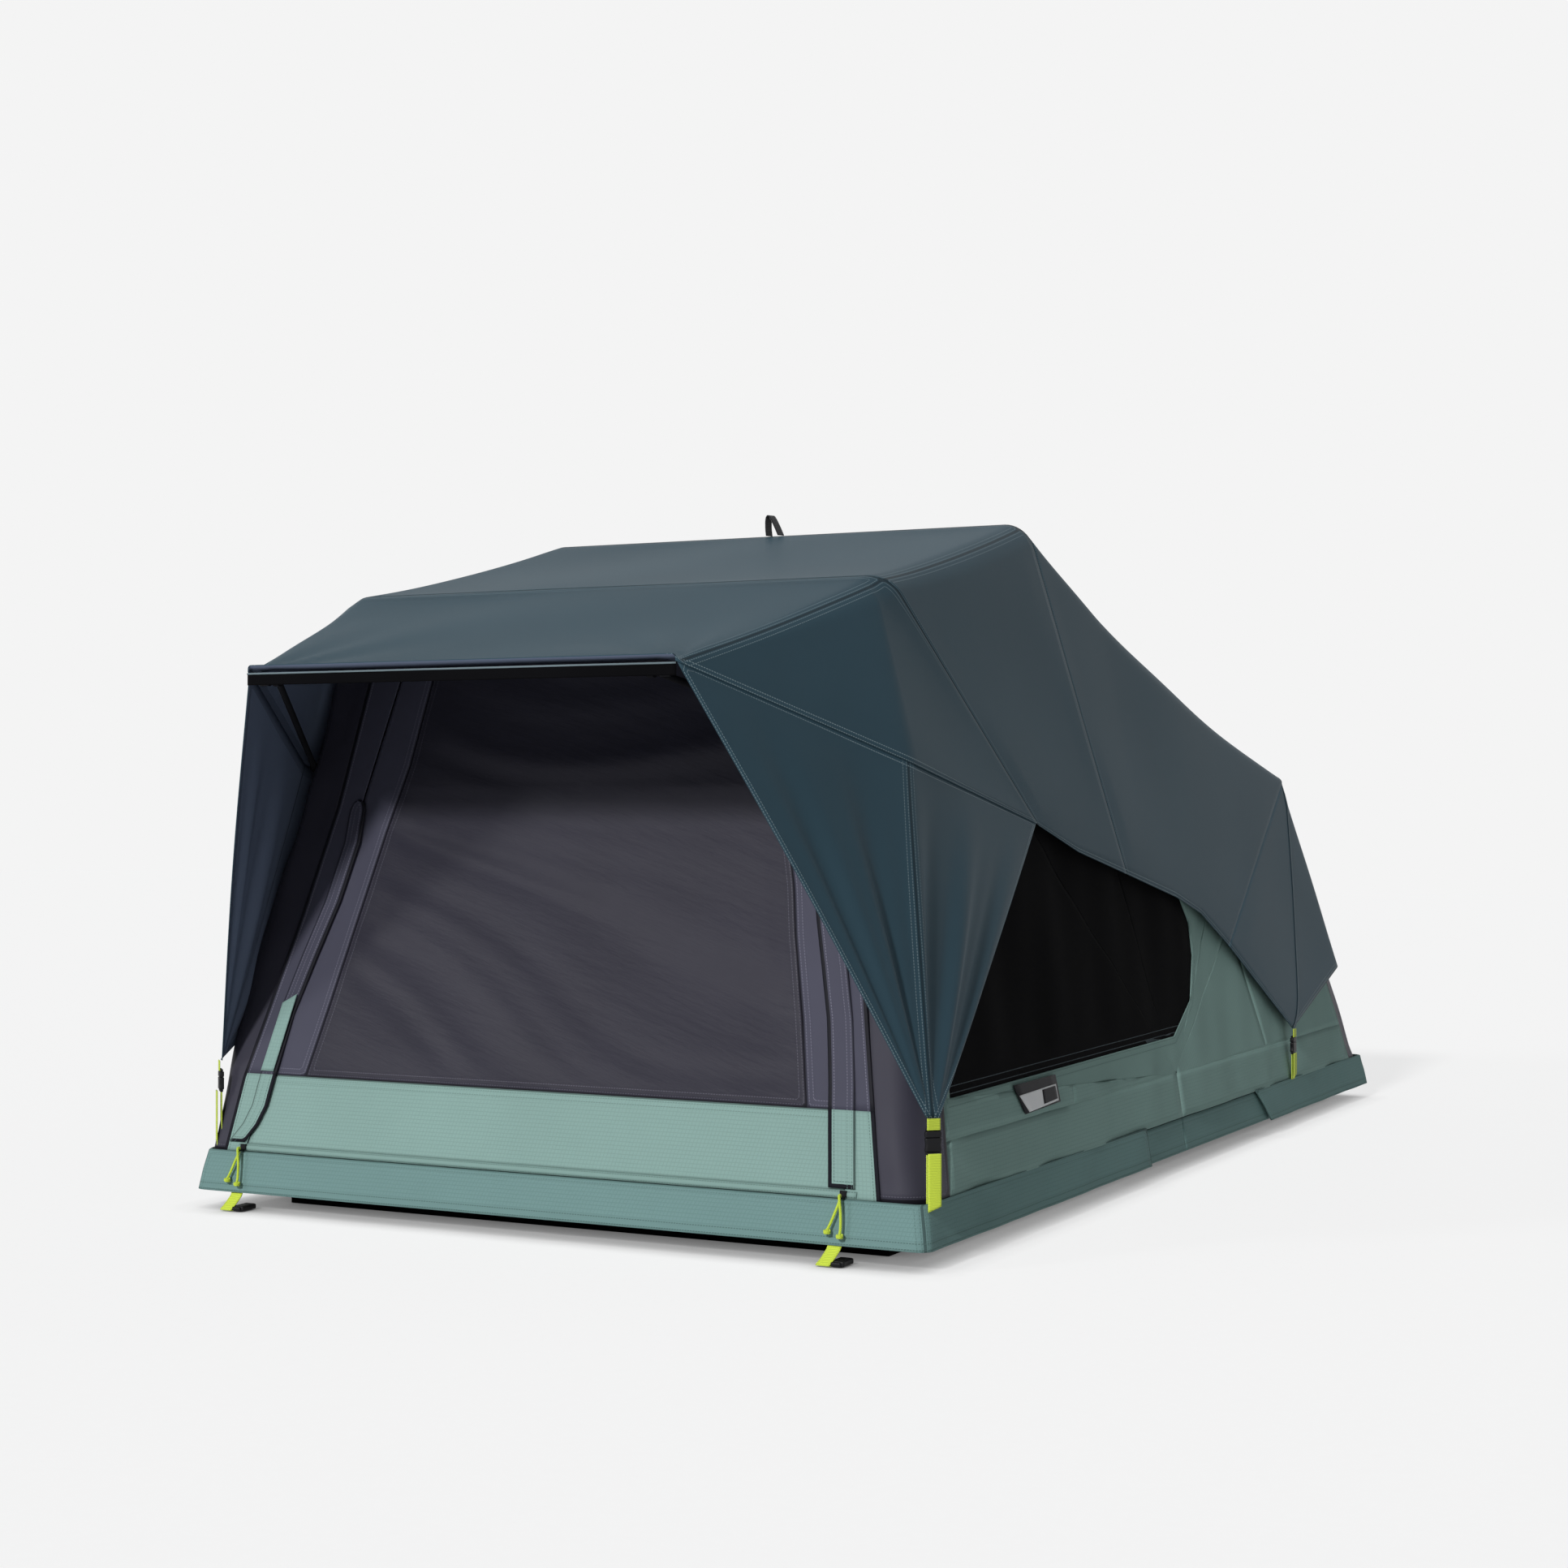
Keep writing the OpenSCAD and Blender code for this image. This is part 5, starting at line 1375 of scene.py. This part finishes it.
def skirt_patch(hem_end, top_end, front, ledge):
    """Rows from hem to top, the hem waving a little in and out, then a ledge in to the wall."""
    rows = []
    heights = np.concatenate([np.linspace(SKIRT_HEM, SKIRT_TOP, 14), SKIRT_TOP + LEDGE_RISES])
    ledges = np.concatenate([np.zeros(14), ledge * LEDGE_SHARES])
    for z, drawn in zip(heights, ledges):
        share = min(1.0, (z - SKIRT_HEM) / (SKIRT_TOP - SKIRT_HEM))
        x, y = skirt_row(SKIRT_LEAN * share, lerp(hem_end, top_end, share), front, drawn)
        rows.append(np.stack([x, y, np.full_like(x, z)], axis=-1))
    points = np.stack(rows, axis=1)
    u, v = run_lengths(points, 0), run_lengths(points, 1)
    fade = np.clip((SKIRT_TOP - points[..., 2]) / SKIRT_CALM, 0.0, 1.0)
    corner_seams = [(np.abs(u - u[[CORNER_COLUMN]]), v), (np.abs(u - u[[-1 - CORNER_COLUMN]]), v)]
    return patch(swell(points, (waves(u, v, SKIRT_RIPPLES) + SKIRT_SWELL) * fade), bound=("second_start",),
                 sewn=("second_end", "first_start", "first_end"), sewn_lines=corner_seams)


front_skirt = skirt_patch(FRONT_SKIRT_END, FRONT_SKIRT_END, True, FRONT_LEDGE)
rear_skirt = skirt_patch(BASE_LENGTH - REAR_HEM_END, BASE_LENGTH - REAR_TOP_END, False, REAR_LEDGE)
for name, part, node, body in (("front_skirt_cloth", front_skirt, "front_skirt", "front_base"),
                               ("rear_skirt_cloth", rear_skirt, "rear_skirt", "rear_base")):
    piece = stand_in(name, [part], skirt_cloth, node)
    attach(piece, body)
    declare_cloth([part])


def middle_patch(y_from, y_to):
    """A flat length of skirt under the ends of the other two."""
    y = np.linspace(y_from, y_to, 40)[:, None]
    z = np.linspace(MIDDLE_HEM, MIDDLE_TOP, 8)[None]
    lean = SKIRT_LEAN * (z - SKIRT_HEM) / (SKIRT_TOP - SKIRT_HEM)
    points = np.stack(np.broadcast_arrays(MIDDLE_X - lean, y, z), axis=-1)
    return patch(points, bound=("second_start",), sewn=("second_end",))


for label, y_from, y_to, body in (("front", MIDDLE_START, HINGE[0] - MIDDLE_GAP, "front_base"),
                                  ("rear", HINGE[0] + MIDDLE_GAP, MIDDLE_END, "rear_base")):
    part = middle_patch(y_from, y_to)
    piece = stand_in(f"middle_skirts_{label}_cloth", [part, mirrored(part)], skirt_cloth, "middle_skirts")
    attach(piece, body)
    declare_cloth([part, mirrored(part)])
print("skirts made")

# %% Side label
def label_patch(corners, out):
    """Four corners on the right wall, (y, z) from the lower front one round to the upper front one,
    filled by a grid and set out from the wall."""
    flat = filled(np.array(corners))
    return patch(np.stack([wall_x(flat[..., 1]) + out, flat[..., 0], flat[..., 1]], axis=-1))


LABEL_PARTS = [
    ("body", tape_cloth, 0.0045, [(0.419, 0.177), (0.569, 0.181), (0.564, 0.224), (0.388, 0.224)]),
    ("pale", white_cloth, 0.0056, [(0.4335, 0.179), (0.559, 0.184), (0.557, 0.210), (0.4034, 0.207)]),
    ("inset", tape_cloth, 0.0067, [(0.4956, 0.185), (0.5536, 0.1875), (0.5513, 0.2075), (0.4964, 0.2067)]),
]
for label, finish, out, corners in LABEL_PARTS:
    label_piece = stand_in(f"side_label_{label}_cloth", [label_patch(corners, out)], finish, "side_label",
                           THIN)
    fan(label_piece, "front_base", "front_hoop_body")
print("label left bare")

# %% [markdown]
# ## Mattress halves
#
# Two foam pads lie on the floor boards, one on each half of the base. A pad is a closed form with a
# crown on top and sides that draw in: a superellipse in plan, carried from the flat underside round
# a soft edge to the crown. They are inside the closed tent and show only through its openings.

# %% Mattress pads
PAD_HALF_WIDTH, PAD_BOTTOM, PAD_TOP, PAD_CORNER = 0.568, 0.0465, 0.0795, 0.16
PAD_EDGE, PAD_EDGE_POWER, PAD_DROP, PAD_BELLY = 2.6, 1.5, 0.004, 0.006
SIDE_START, SIDE_SHARE = 0.385, 0.23
PAD_WELD = 0.0002


def pad_points(y_from, y_to, bottom, top):
    """Rings from the middle of the underside over the edge to the middle of the top."""
    half_x, half_y = PAD_HALF_WIDTH, 0.5 * (y_to - y_from)
    turn = np.linspace(0.0, 2.0 * math.pi, 161)[:, None]
    ring = np.linspace(0.0, 1.0, 41)[None]
    spread = np.clip(np.minimum(ring, 1.0 - ring) * PAD_EDGE, 0.0, 1.0)
    spread = np.where(ring < 0.5, spread, 1.0 - (1.0 - spread) ** PAD_EDGE_POWER)
    x = half_x * spread * np.sign(np.cos(turn)) * np.abs(np.cos(turn)) ** PAD_CORNER
    y = half_y * spread * np.sign(np.sin(turn)) * np.abs(np.sin(turn)) ** PAD_CORNER
    side = np.clip((ring - SIDE_START) / SIDE_SHARE, 0.0, 1.0)
    crown = 0.5 - 0.5 * np.cos(math.pi * side)
    z = bottom + (top - bottom) * crown - PAD_DROP * spread ** 6 * (ring > 0.5)
    belly = 1.0 - PAD_BELLY * (1.0 - (2.0 * side - 1.0) ** 2) * (side > 0) * (side < 1)
    return np.stack(np.broadcast_arrays(x * belly, 0.5 * (y_from + y_to) + y * belly, z), axis=-1)


mattress_cloth = cloth_finish("mattress_cover", paint(92, 94, 97), 0.75, 0.2, sheen=0.1, weave=0.0016)
for name, y_from, y_to, node, body in (("front_mattress_pad", 0.046, 1.144, "front_mattress", "front_base"),
                                       ("rear_mattress_pad", 1.166, 2.339, "rear_mattress", "rear_base")):
    part = patch(pad_points(y_from, y_to, PAD_BOTTOM, PAD_TOP))
    pad = stand_in(name, [part], mattress_cloth, node, 0.0)
    close_seam(pad, PAD_WELD)
    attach(pad, body)
print("mattress pads made")

# %% [markdown]
# ## Buckles, webbing and ridge loop
#
# Moulded buckles have round edges and a waist, which a plain box can't show. Each is lofted: flat
# rings, each a superellipse, stacked from its lower to its upper end. The webbing above a buckle and
# the loop on the ridge are strips carried along a path. All of them hang in the place of their CAD
# pieces and move with the same bodies.

# %% Plastic, metal and webbing
def plastic_finish(name, colour, specular=0.4, roughness=0.36):
    """Moulded plastic: a fine grain in the surface and slightly uneven gloss."""
    finish = Finish(name, roughness, specular)
    grain = finish.noise(finish.places(), 900.0, 2.0)
    cloud = finish.noise(finish.places(), 30.0, 3.0)
    finish.colour(finish.ramp(cloud, [(0.3, tinted(colour, 0.8)), (0.7, tinted(colour, 1.3))]))
    finish.rough(finish.calc("MULTIPLY_ADD", cloud, 0.2, roughness))
    finish.bump(grain, 0.0002, 0.5)
    return finish.material


def metal_finish(name, colour, roughness, streak):
    """Metal with streaks along one direction: noise stretched by the streak factors."""
    finish = Finish(name, roughness, 0.5, metallic=0.9)
    lines = finish.noise(finish.places(streak), 12.0, 5.0, 0.65)
    finish.colour(finish.ramp(lines, [(0.3, tinted(colour, 0.82)), (0.7, tinted(colour, 1.08))]))
    finish.rough(finish.calc("MULTIPLY_ADD", lines, 0.25, roughness - 0.12))
    finish.bump(lines, 0.0003, 0.4)
    return finish.material


def webbing_finish(name, colour, period=0.0022):
    """Flat webbing: ribs across it, broken by a finer thread along it."""
    finish = Finish(name, 0.72, 0.2, 0.25)
    ribs = finish.bands(finish.places(), period, "Z")
    threads = finish.bands(finish.places((1.0, 1.0, 0.2), 0.78), period * 0.7, "X")
    woven = finish.calc("MULTIPLY_ADD", threads, 0.4, finish.calc("MULTIPLY", ribs, 0.6))
    # Painted shade: the webbing is darker in the dips between ribs and threads, where the weave is low.
    finish.colour(finish.ramp(woven, [(0.1, tinted(colour, 0.62)), (0.8, tinted(colour, 1.08))]))
    finish.bump(woven, 0.0005, 0.8)
    return finish.material


black_plastic = plastic_finish("black_plastic", paint(20, 20, 22), 0.16)
bright_webbing = webbing_finish("bright_webbing", paint(206, 226, 72))
black_webbing = webbing_finish("black_webbing", paint(34, 34, 37))
print("plastic and webbing finishes ready")

# %% Buckles
REAR_STRAP = np.array([0.6426, 1.838, 0.195])
WEBBING, HALF_STRAP = 0.0014, 0.5 * STRAP_WIDTH
HARDWARE_WELD = 0.00005


def loft(rows, power=5.0, sides=48):
    """Rings stacked in height. A row is (height, half width, half depth), and its ring is a
    superellipse: |x / width| to the power plus |y / depth| to the power is 1."""
    height, width, depth = np.array(rows, float).T
    turn = np.linspace(0.0, 2.0 * math.pi, sides + 1)[:, None]
    x = width[None] * np.sign(np.cos(turn)) * np.abs(np.cos(turn)) ** (2.0 / power)
    y = depth[None] * np.sign(np.sin(turn)) * np.abs(np.sin(turn)) ** (2.0 / power)
    return np.stack(np.broadcast_arrays(x, y, height[None]), axis=-1)


def moulded(low, high, half_width, half_depth, waist, bevel=0.0012):
    """Rows of a moulded block with bevelled ends, drawn in by a share at its middle."""
    share = np.linspace(0.0, 1.0, 13)
    width = half_width * (1.0 - waist * np.sin(math.pi * share) ** 2)
    body = np.column_stack([lerp(low + bevel, high - bevel, share), width, np.full(13, half_depth)])
    inset = np.array([0.0, bevel, bevel])
    first, last = body[0] - inset, body[-1] - inset
    first[0], last[0] = low, high
    return np.vstack([(low, 0.0, 0.0), first, body, last, (high, 0.0, 0.0)])


def hung(points, place, turn):
    """Local points turned about z and moved to where a strap hangs."""
    cos, sin = math.cos(turn), math.sin(turn)
    x = points[..., 0] * cos - points[..., 1] * sin
    y = points[..., 0] * sin + points[..., 1] * cos
    return np.stack([x, y, points[..., 2]], axis=-1) + place


def strap_strip(low, high, half_width, out, slant):
    """A strip of webbing that faces local -y, its lower end cut on a slant."""
    across = np.linspace(-1.0, 1.0, 9)[:, None]
    rise = np.linspace(0.0, 1.0, 24)[None]
    z = lerp(low + slant * across, high, rise)
    return np.stack(np.broadcast_arrays(half_width * across, out, z), axis=-1)


def hardware(name, parts, finish, node, body, thickness):
    """A piece of hardware that takes a CAD node's place and moves with its body."""
    piece = stand_in(name, parts, finish, node, thickness)
    if not thickness:
        close_seam(piece, HARDWARE_WELD)
    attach(piece, body)


# Each block: its low and high end below the strap's place, half width, half depth and waist.
PLUG_ROWS = [moulded(-0.0274, -0.0182, 0.0122, 0.0042, -0.03),
             moulded(-0.0182, -0.0142, 0.0118, 0.0026, 0.0)]
SOCKET_ROWS = [moulded(-0.0476, -0.0278, 0.0124, 0.0043, 0.10),
               moulded(-0.0515, -0.0470, 0.0118, 0.0028, 0.0)]
TOP_WEB, TOP_OUT = (-0.0170, -0.0005), -0.0036
BACK_WEB_TOP, BACK_OUT, TAIL_TOP, TAIL_SLANT = -0.0485, -0.0002, -0.0495, 0.004
TAIL_ENDS = {"front": 0.132, "rear": 0.100}
TAIL_OUT = {"front": -0.0075, "rear": -0.0046}
STRAP_DROPS = {"front": 0.1225, "rear": 0.1025}
STRAP_PLACES = {"front": (WING_FOOT, LEFT_WING_FOOT), "rear": (REAR_STRAP, REAR_STRAP)}
for end, turn in (("front", math.pi / 4), ("rear", math.pi / 2)):
    sockets, straps = [], []
    for side, place, over in zip(("right", "left"), STRAP_PLACES[end], (dict, mirrored)):
        raised = place[2] - STRAP_PLACES[end][0][2]
        plugs = [over(patch(hung(loft(rows), place, turn))) for rows in PLUG_ROWS]
        top_web = over(patch(hung(strap_strip(*TOP_WEB, HALF_STRAP, TOP_OUT, 0.0), place, turn)))
        back_web = strap_strip(-STRAP_DROPS[end] - raised, BACK_WEB_TOP, HALF_STRAP, BACK_OUT, 0.0)
        tail_foot = TAIL_SLANT - TAIL_ENDS[end] - raised
        tail_web = strap_strip(tail_foot, TAIL_TOP, HALF_STRAP, TAIL_OUT[end], TAIL_SLANT)
        sockets += [over(patch(hung(loft(rows), place, turn))) for rows in SOCKET_ROWS]
        straps += [over(patch(hung(strip, place, turn))) for strip in (back_web, tail_web)]
        hardware(f"buckle_plug_{end}_{side}_body", plugs, black_plastic, f"buckle_plug_{end}_{side}",
                 f"plug_{end}_{side}", 0.0)
        hardware(f"buckle_plug_{end}_{side}_webbing", [top_web], bright_webbing, f"buckle_plug_{end}_{side}",
                 f"plug_{end}_{side}", WEBBING)
    hardware(f"{end}_buckle_sockets_body", sockets, black_plastic, f"{end}_buckle_sockets", f"{end}_base",
             0.0)
    hardware(f"{end}_corner_straps_webbing", straps, bright_webbing, f"{end}_corner_straps", f"{end}_base",
             WEBBING)
print("corner buckles", 2 * len(TAIL_ENDS))

# %% Ridge loop
LOOP_HALF_WIDTH, LOOP_WEBBING = 0.007, 0.0018
LOOP_LEAN = np.array([0.35, 1.0, 0.0])
loop_line = through_points([(-0.011, 0.0, 0.001), (-0.0125, 0.0, 0.016), (-0.0120, 0.0, 0.031),
                            (-0.0085, 0.0, 0.036), (-0.0035, 0.0, 0.030), (0.004, 0.0, 0.016),
                            (0.011, 0.0, 0.001)], 60)
loop_across = np.linspace(LOOP_HALF_WIDTH, -LOOP_HALF_WIDTH, 7)[None, :, None] * LOOP_LEAN
loop_points = loop_line[:, None] + loop_across + np.array([0.0, RIDGE[0], RIDGE[1]])
hardware("ridge_loop_webbing", [patch(loop_points)], black_webbing, "ridge_loop", "ridge_hoop_body",
         LOOP_WEBBING)
print("ridge loop", round(float(loop_line[:, 2].max()), 3), "m high")

# %% Tie straps
TIE_PLACES, TIE_HALF_WIDTH, TIE_WAIST = (-0.569, 0.501), 0.011, 0.08
TIE_LINE = through_points([(0.006, 0.030, 0.0332), (0.005, 0.0045, 0.0325), (0.002, 0.001, 0.0240),
                           (-0.004, -0.005, 0.0120), (-0.009, -0.0095, 0.0040), (-0.010, -0.0085, 0.0012),
                           (-0.009, -0.0030, 0.0010)], 50)
# Each block of a tie buckle: its front and rear end, half width and half height.
TIE_BLOCKS = [(-0.010, 0.024, 0.0115, 0.0045), (-0.014, -0.008, 0.0080, 0.0030)]
BLOCK_PLACE = (0.010, 0.005, 0.0050)
tie_across = np.linspace(-TIE_HALF_WIDTH, TIE_HALF_WIDTH, 7)[None, :, None] * np.array([1.0, 0.0, 0.0])
tie_strips, tie_blocks = [], []
for tie_x in TIE_PLACES:
    tie_strips.append(patch(TIE_LINE[:, None] + tie_across + np.array([tie_x, 0.0, 0.0])))
    for low, high, half_width, half_height in TIE_BLOCKS:
        block = loft(moulded(low, high, half_width, half_height, TIE_WAIST))
        laid = np.stack([block[..., 0], block[..., 2], -block[..., 1]], axis=-1)
        tie_blocks.append(patch(laid + np.array([tie_x + BLOCK_PLACE[0], *BLOCK_PLACE[1:]])))
hardware("tie_straps_webbing", tie_strips, bright_webbing, "tie_straps", "front_base",
         WEBBING)
hardware("tie_buckles_body", tie_blocks, black_plastic, "tie_buckles", "front_base", 0.0)
print("tie straps", len(tie_strips))

# %% [markdown]
# ## Finishes for the hard parts
#
# Struts, tubes, frames, boards, zip sliders and hinge plates keep their CAD shapes, so they only need
# a finish: coated metal and moulded plastic with a fine grain, drawn aluminium with long streaks, and
# steel with even ones. All read Object coordinates. Every CAD node gets the finish of its slot, also
# those that a piece above replaces.

# %% Hard finishes
hard_finishes = {
    "black_plastic": black_plastic,
    "dark_rod": plastic_finish("dark_rod", paint(22, 22, 25), 0.06, 0.7),
    "frame_aluminium": metal_finish("frame_aluminium", paint(196, 198, 202), 0.35, (20.0, 1.0, 20.0)),
    # The base frames' near black is partly their dark coat and partly painted shade for the dark gap under the
    # hem.
    "coated_frame": plastic_finish("coated_frame", paint(9, 9, 10), 0.02, 0.7),
    "hinge_steel": metal_finish("hinge_steel", paint(176, 176, 178), 0.4, (4.0, 4.0, 4.0)),
    "floor_panel": plastic_finish("floor_panel", paint(150, 152, 154)),
    "black_webbing": black_webbing,
    "bright_webbing": bright_webbing,
    "mattress_cover": mattress_cloth,
    "fly_fabric": fly_cloth, "green_fabric": sage_cloth, "charcoal_fabric": charcoal_cloth,
    "door_fabric": door_cloth, "window_mesh": window_cloth,
}
for subpart in frame["record"]["subparts"]:
    node_object = frame["nodes"][subpart["node"]]
    for place in node_object.material_slots:
        place.material = hard_finishes[subpart["material_slot"]]

# %% [markdown]
# ## Floor, light and background
#
# The photograph has a plain pale ground and soft light from the front, high enough that the awning
# shades the top of the door along a level line. One large lamp makes that shade, a weaker one from
# the left throws the small shadows of the zip pulls, a third fills the right side, and the world
# lights the rest. The pale background comes from the colours of the floor and the world, where Light
# Path shows it to the camera and to reflections alone.

# %% Stage
BACKGROUND = 0.905
FLOOR_GLOW, GLOW_SHARE = 1.076, 0.7
CONTACT_SHADE_REACH = 0.06
FLOOR_HALF, FLOOR_SINK = 14.0, 0.0005


def seen_rays(tree):
    """1 for rays that come from the camera, a reflection or glass."""
    path = tree.nodes.new("ShaderNodeLightPath")
    total = path.outputs["Is Camera Ray"]
    for name in ("Is Glossy Ray", "Is Transmission Ray"):
        node = tree.nodes.new("ShaderNodeMath")
        node.operation = "MAXIMUM"
        tree.links.new(total, node.inputs[0])
        tree.links.new(path.outputs[name], node.inputs[1])
        total = node.outputs[0]
    return total


world = bpy.data.worlds.new("studio")
world.use_nodes = True
bpy.context.scene.world = world
sky = world.node_tree.nodes["Background"]
sky.inputs["Color"].default_value = (0.14, 0.145, 0.15, 1.0)
backdrop = world.node_tree.nodes.new("ShaderNodeBackground")
backdrop.inputs["Color"].default_value = (BACKGROUND, BACKGROUND, BACKGROUND, 1.0)
choose = world.node_tree.nodes.new("ShaderNodeMixShader")
world.node_tree.links.new(seen_rays(world.node_tree), choose.inputs[0])
world.node_tree.links.new(sky.outputs[0], choose.inputs[1])
world.node_tree.links.new(backdrop.outputs[0], choose.inputs[2])
world.node_tree.links.new(choose.outputs[0], world.node_tree.nodes["World Output"].inputs["Surface"])

ground = Finish("pale_floor", 0.9, 0.1)
speckle = ground.noise(ground.places(), 60.0, 2.0)
ground.colour(ground.ramp(speckle, [(0.3, (0.80, 0.80, 0.80, 1.0)), (0.7, (0.83, 0.83, 0.83, 1.0))]))
glow = ground.tree.nodes.new("ShaderNodeEmission")
glow.inputs["Color"].default_value = (FLOOR_GLOW, FLOOR_GLOW, FLOOR_GLOW, 1.0)
# Painted contact shadow: the floor's glow fades with ambient occlusion within a few centimetres of the tent, so
# the floor goes dark under the hem.
contact_shade = ground.tree.nodes.new("ShaderNodeAmbientOcclusion")
contact_shade.inputs["Distance"].default_value = CONTACT_SHADE_REACH
ground.tree.links.new(contact_shade.outputs["AO"], glow.inputs["Strength"])
lit = ground.tree.nodes.new("ShaderNodeMixShader")
ground.join(ground.calc("MULTIPLY", seen_rays(ground.tree), GLOW_SHARE), lit.inputs[0])
ground.tree.links.new(ground.shader.outputs[0], lit.inputs[1])
ground.tree.links.new(glow.outputs[0], lit.inputs[2])
ground.tree.links.new(lit.outputs[0], ground.tree.nodes["Material Output"].inputs["Surface"])
steps = np.linspace(-FLOOR_HALF, FLOOR_HALF, 9)
floor_x, floor_y = np.meshgrid(steps, steps, indexing="ij")
floor_points = np.stack([floor_x, floor_y, np.full_like(floor_x, -FLOOR_SINK)], axis=-1)
floor = cloth_piece("floor", [patch(floor_points)], ground.material, 0.0)
print("floor", round(float(steps[-1] - steps[0]), 1), "m across")

# %% Lamps
KEY_TRAVEL = (0.02, 0.87, -0.49)
LEFT_TRAVEL = (0.62, 0.70, -0.36)
FILL_TRAVEL = (-0.60, -0.75, -0.30)


def far_lamp(name, travel, energy, spread):
    """A lamp far away: its light travels along one direction, softened by a spread in degrees."""
    data = bpy.data.lights.new(name, "SUN")
    data.energy = energy
    data.angle = math.radians(spread)
    lamp = bpy.data.objects.new(name, data)
    lamp.rotation_euler = Vector(travel).to_track_quat("-Z", "Y").to_euler()
    bpy.context.collection.objects.link(lamp)
    return lamp


far_lamp("key_lamp", KEY_TRAVEL, energy=2.4, spread=6.0)
far_lamp("left_lamp", LEFT_TRAVEL, energy=0.55, spread=8.0)
far_lamp("fill_lamp", FILL_TRAVEL, energy=0.10, spread=50.0)
bpy.context.scene.view_settings.view_transform = "Standard"
